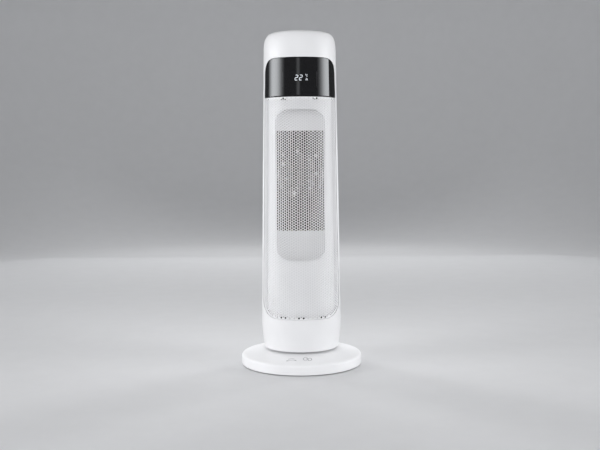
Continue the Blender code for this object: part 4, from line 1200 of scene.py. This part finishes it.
def studio():
    """Pale paper sweep, glowing strips that shape the reflections, soft lights and a dim surrounding."""
    flat, bend, top = 2.4, 1.2, 3.2
    profile = [(0, 0), (1.5, 0), (flat, 0)]
    for angle in spaced(-90, 0, 16)[1:]:
        r, z = on_circle(bend, angle)
        profile.append((flat + r, bend + z))
    profile.append((flat + bend, top))
    sweep = finished("studio_sweep", lathe([(r, z - 0.05 * MM) for r, z in profile], 96))
    sweep.data.materials.append(moulded("pale_paper", (0.72, 0.724, 0.737), 0.8, 0.0001, 0.01, 0.0, 400.0))
    smooth(sweep, 60)
    sweep.visible_glossy = False
    left = [(-46, 0), (-54, 0.1), (-61, 0.33), (-68, 0.68), (-76, 0.93), (-84, 1), (-93, 0.93)]
    left += [(-101, 0.62), (-107, 0.3), (-112, 0.12), (-116, 0)]
    right = [(54, 0), (62, 0.12), (70, 0.36), (78, 0.7), (86, 0.95), (95, 0.96), (102.5, 0.9)]
    front = [(-14, 0), (-9, 0.6), (-6, 1), (-4, 1), (-1, 0.6), (3, 0)]
    back = [(122, 0), (132, 0.5), (142, 0.9), (152, 1), (208, 1), (218, 0.9), (228, 0.5), (238, 0)]
    reflector("reflector_left", 0.32, 0.95, 6, left)
    reflector("reflector_right", 0.32, 0.95, 5.5, right)
    reflector("reflector_front", 0.5, 1.1, 0.8, front)
    reflector("reflector_back", 0.02, 0.5, 1.3, back)
    column_middle, base = (0, 0, 0.35), (0, 0, 0.02)
    for light in (
        ("overhead", (0, -0.4, 2.9), (0, 0, 0.3), (2.4, 2.4), 4.6, 110),
        ("front_fill", (0, -3.1, 0.75), column_middle, (2.4, 1), 9.2, 110),
        ("left_fill", (-3, -1.1, 0.75), column_middle, (1.6, 1), 24, 110),
        ("right_fill", (3, -0.95, 0.75), column_middle, (1.6, 1), 20, 110),
        ("back_fill", (0, 3.1, 1.1), column_middle, (2.4, 1), 16, 110),
        ("base_fill_left", (-1.7, 1.7, 1.4), base, (0.6, 0.6), 0.45, 24),
        ("base_fill_right", (1.7, 1.7, 1.4), base, (0.6, 0.6), 0.38, 24),
    ):
        soft_light(*light)
    world = bpy.data.worlds.new("studio_air")
    SCENE.world = world
    world.use_nodes = True
    tree = world.node_tree
    path = node(tree, "LightPath").outputs["Is Glossy Ray"]
    air = {"Color": (0.96, 0.98, 1.0, 1), "Strength": ranged(tree, path, 0.22, 0.1, 0.0, 1.0)}
    feed(tree, tree.nodes["Background"], air)
    SCENE.view_settings.view_transform = "Standard"


def camera():
    """The photograph's view: just above the heater's middle, a little under two metres in front of it."""
    lens_data = bpy.data.cameras.new("view")
    lens_data.lens = 52.89
    lens_data.sensor_width = 36
    lens_data.clip_end = 50
    eye = bpy.data.objects.new("view", lens_data)
    SCENE.collection.objects.link(eye)
    turn = Matrix.Rotation(0.000855, 4, "Z") @ Matrix.Rotation(math.radians(85.674), 4, "X")
    turn = turn @ Matrix.Rotation(-0.0066, 4, "Z")
    eye.matrix_world = Matrix.Translation((0, -1.741, 0.4071)) @ turn
    SCENE.camera = eye


def finish_kept_nodes():
    """Gives every solid that still shows the finish of its slot."""
    slots = {row["node"]: row["material_slot"] for row in frame["record"]["subparts"]}
    for name, thing in frame["nodes"].items():
        if not thing.hide_render:
            coat(thing, LOOKS[slots[name]])


camera()
studio()
front_shell()
rear_shell()
intake()
lens()
display_symbols()
perforated_grille()
dark_hole_backings()
air_baffle()
heater_core()
painted_glint_beads()
impeller()
power_switch()
screws()
feet()
base_moulding()
base_icons()
finish_kept_nodes()
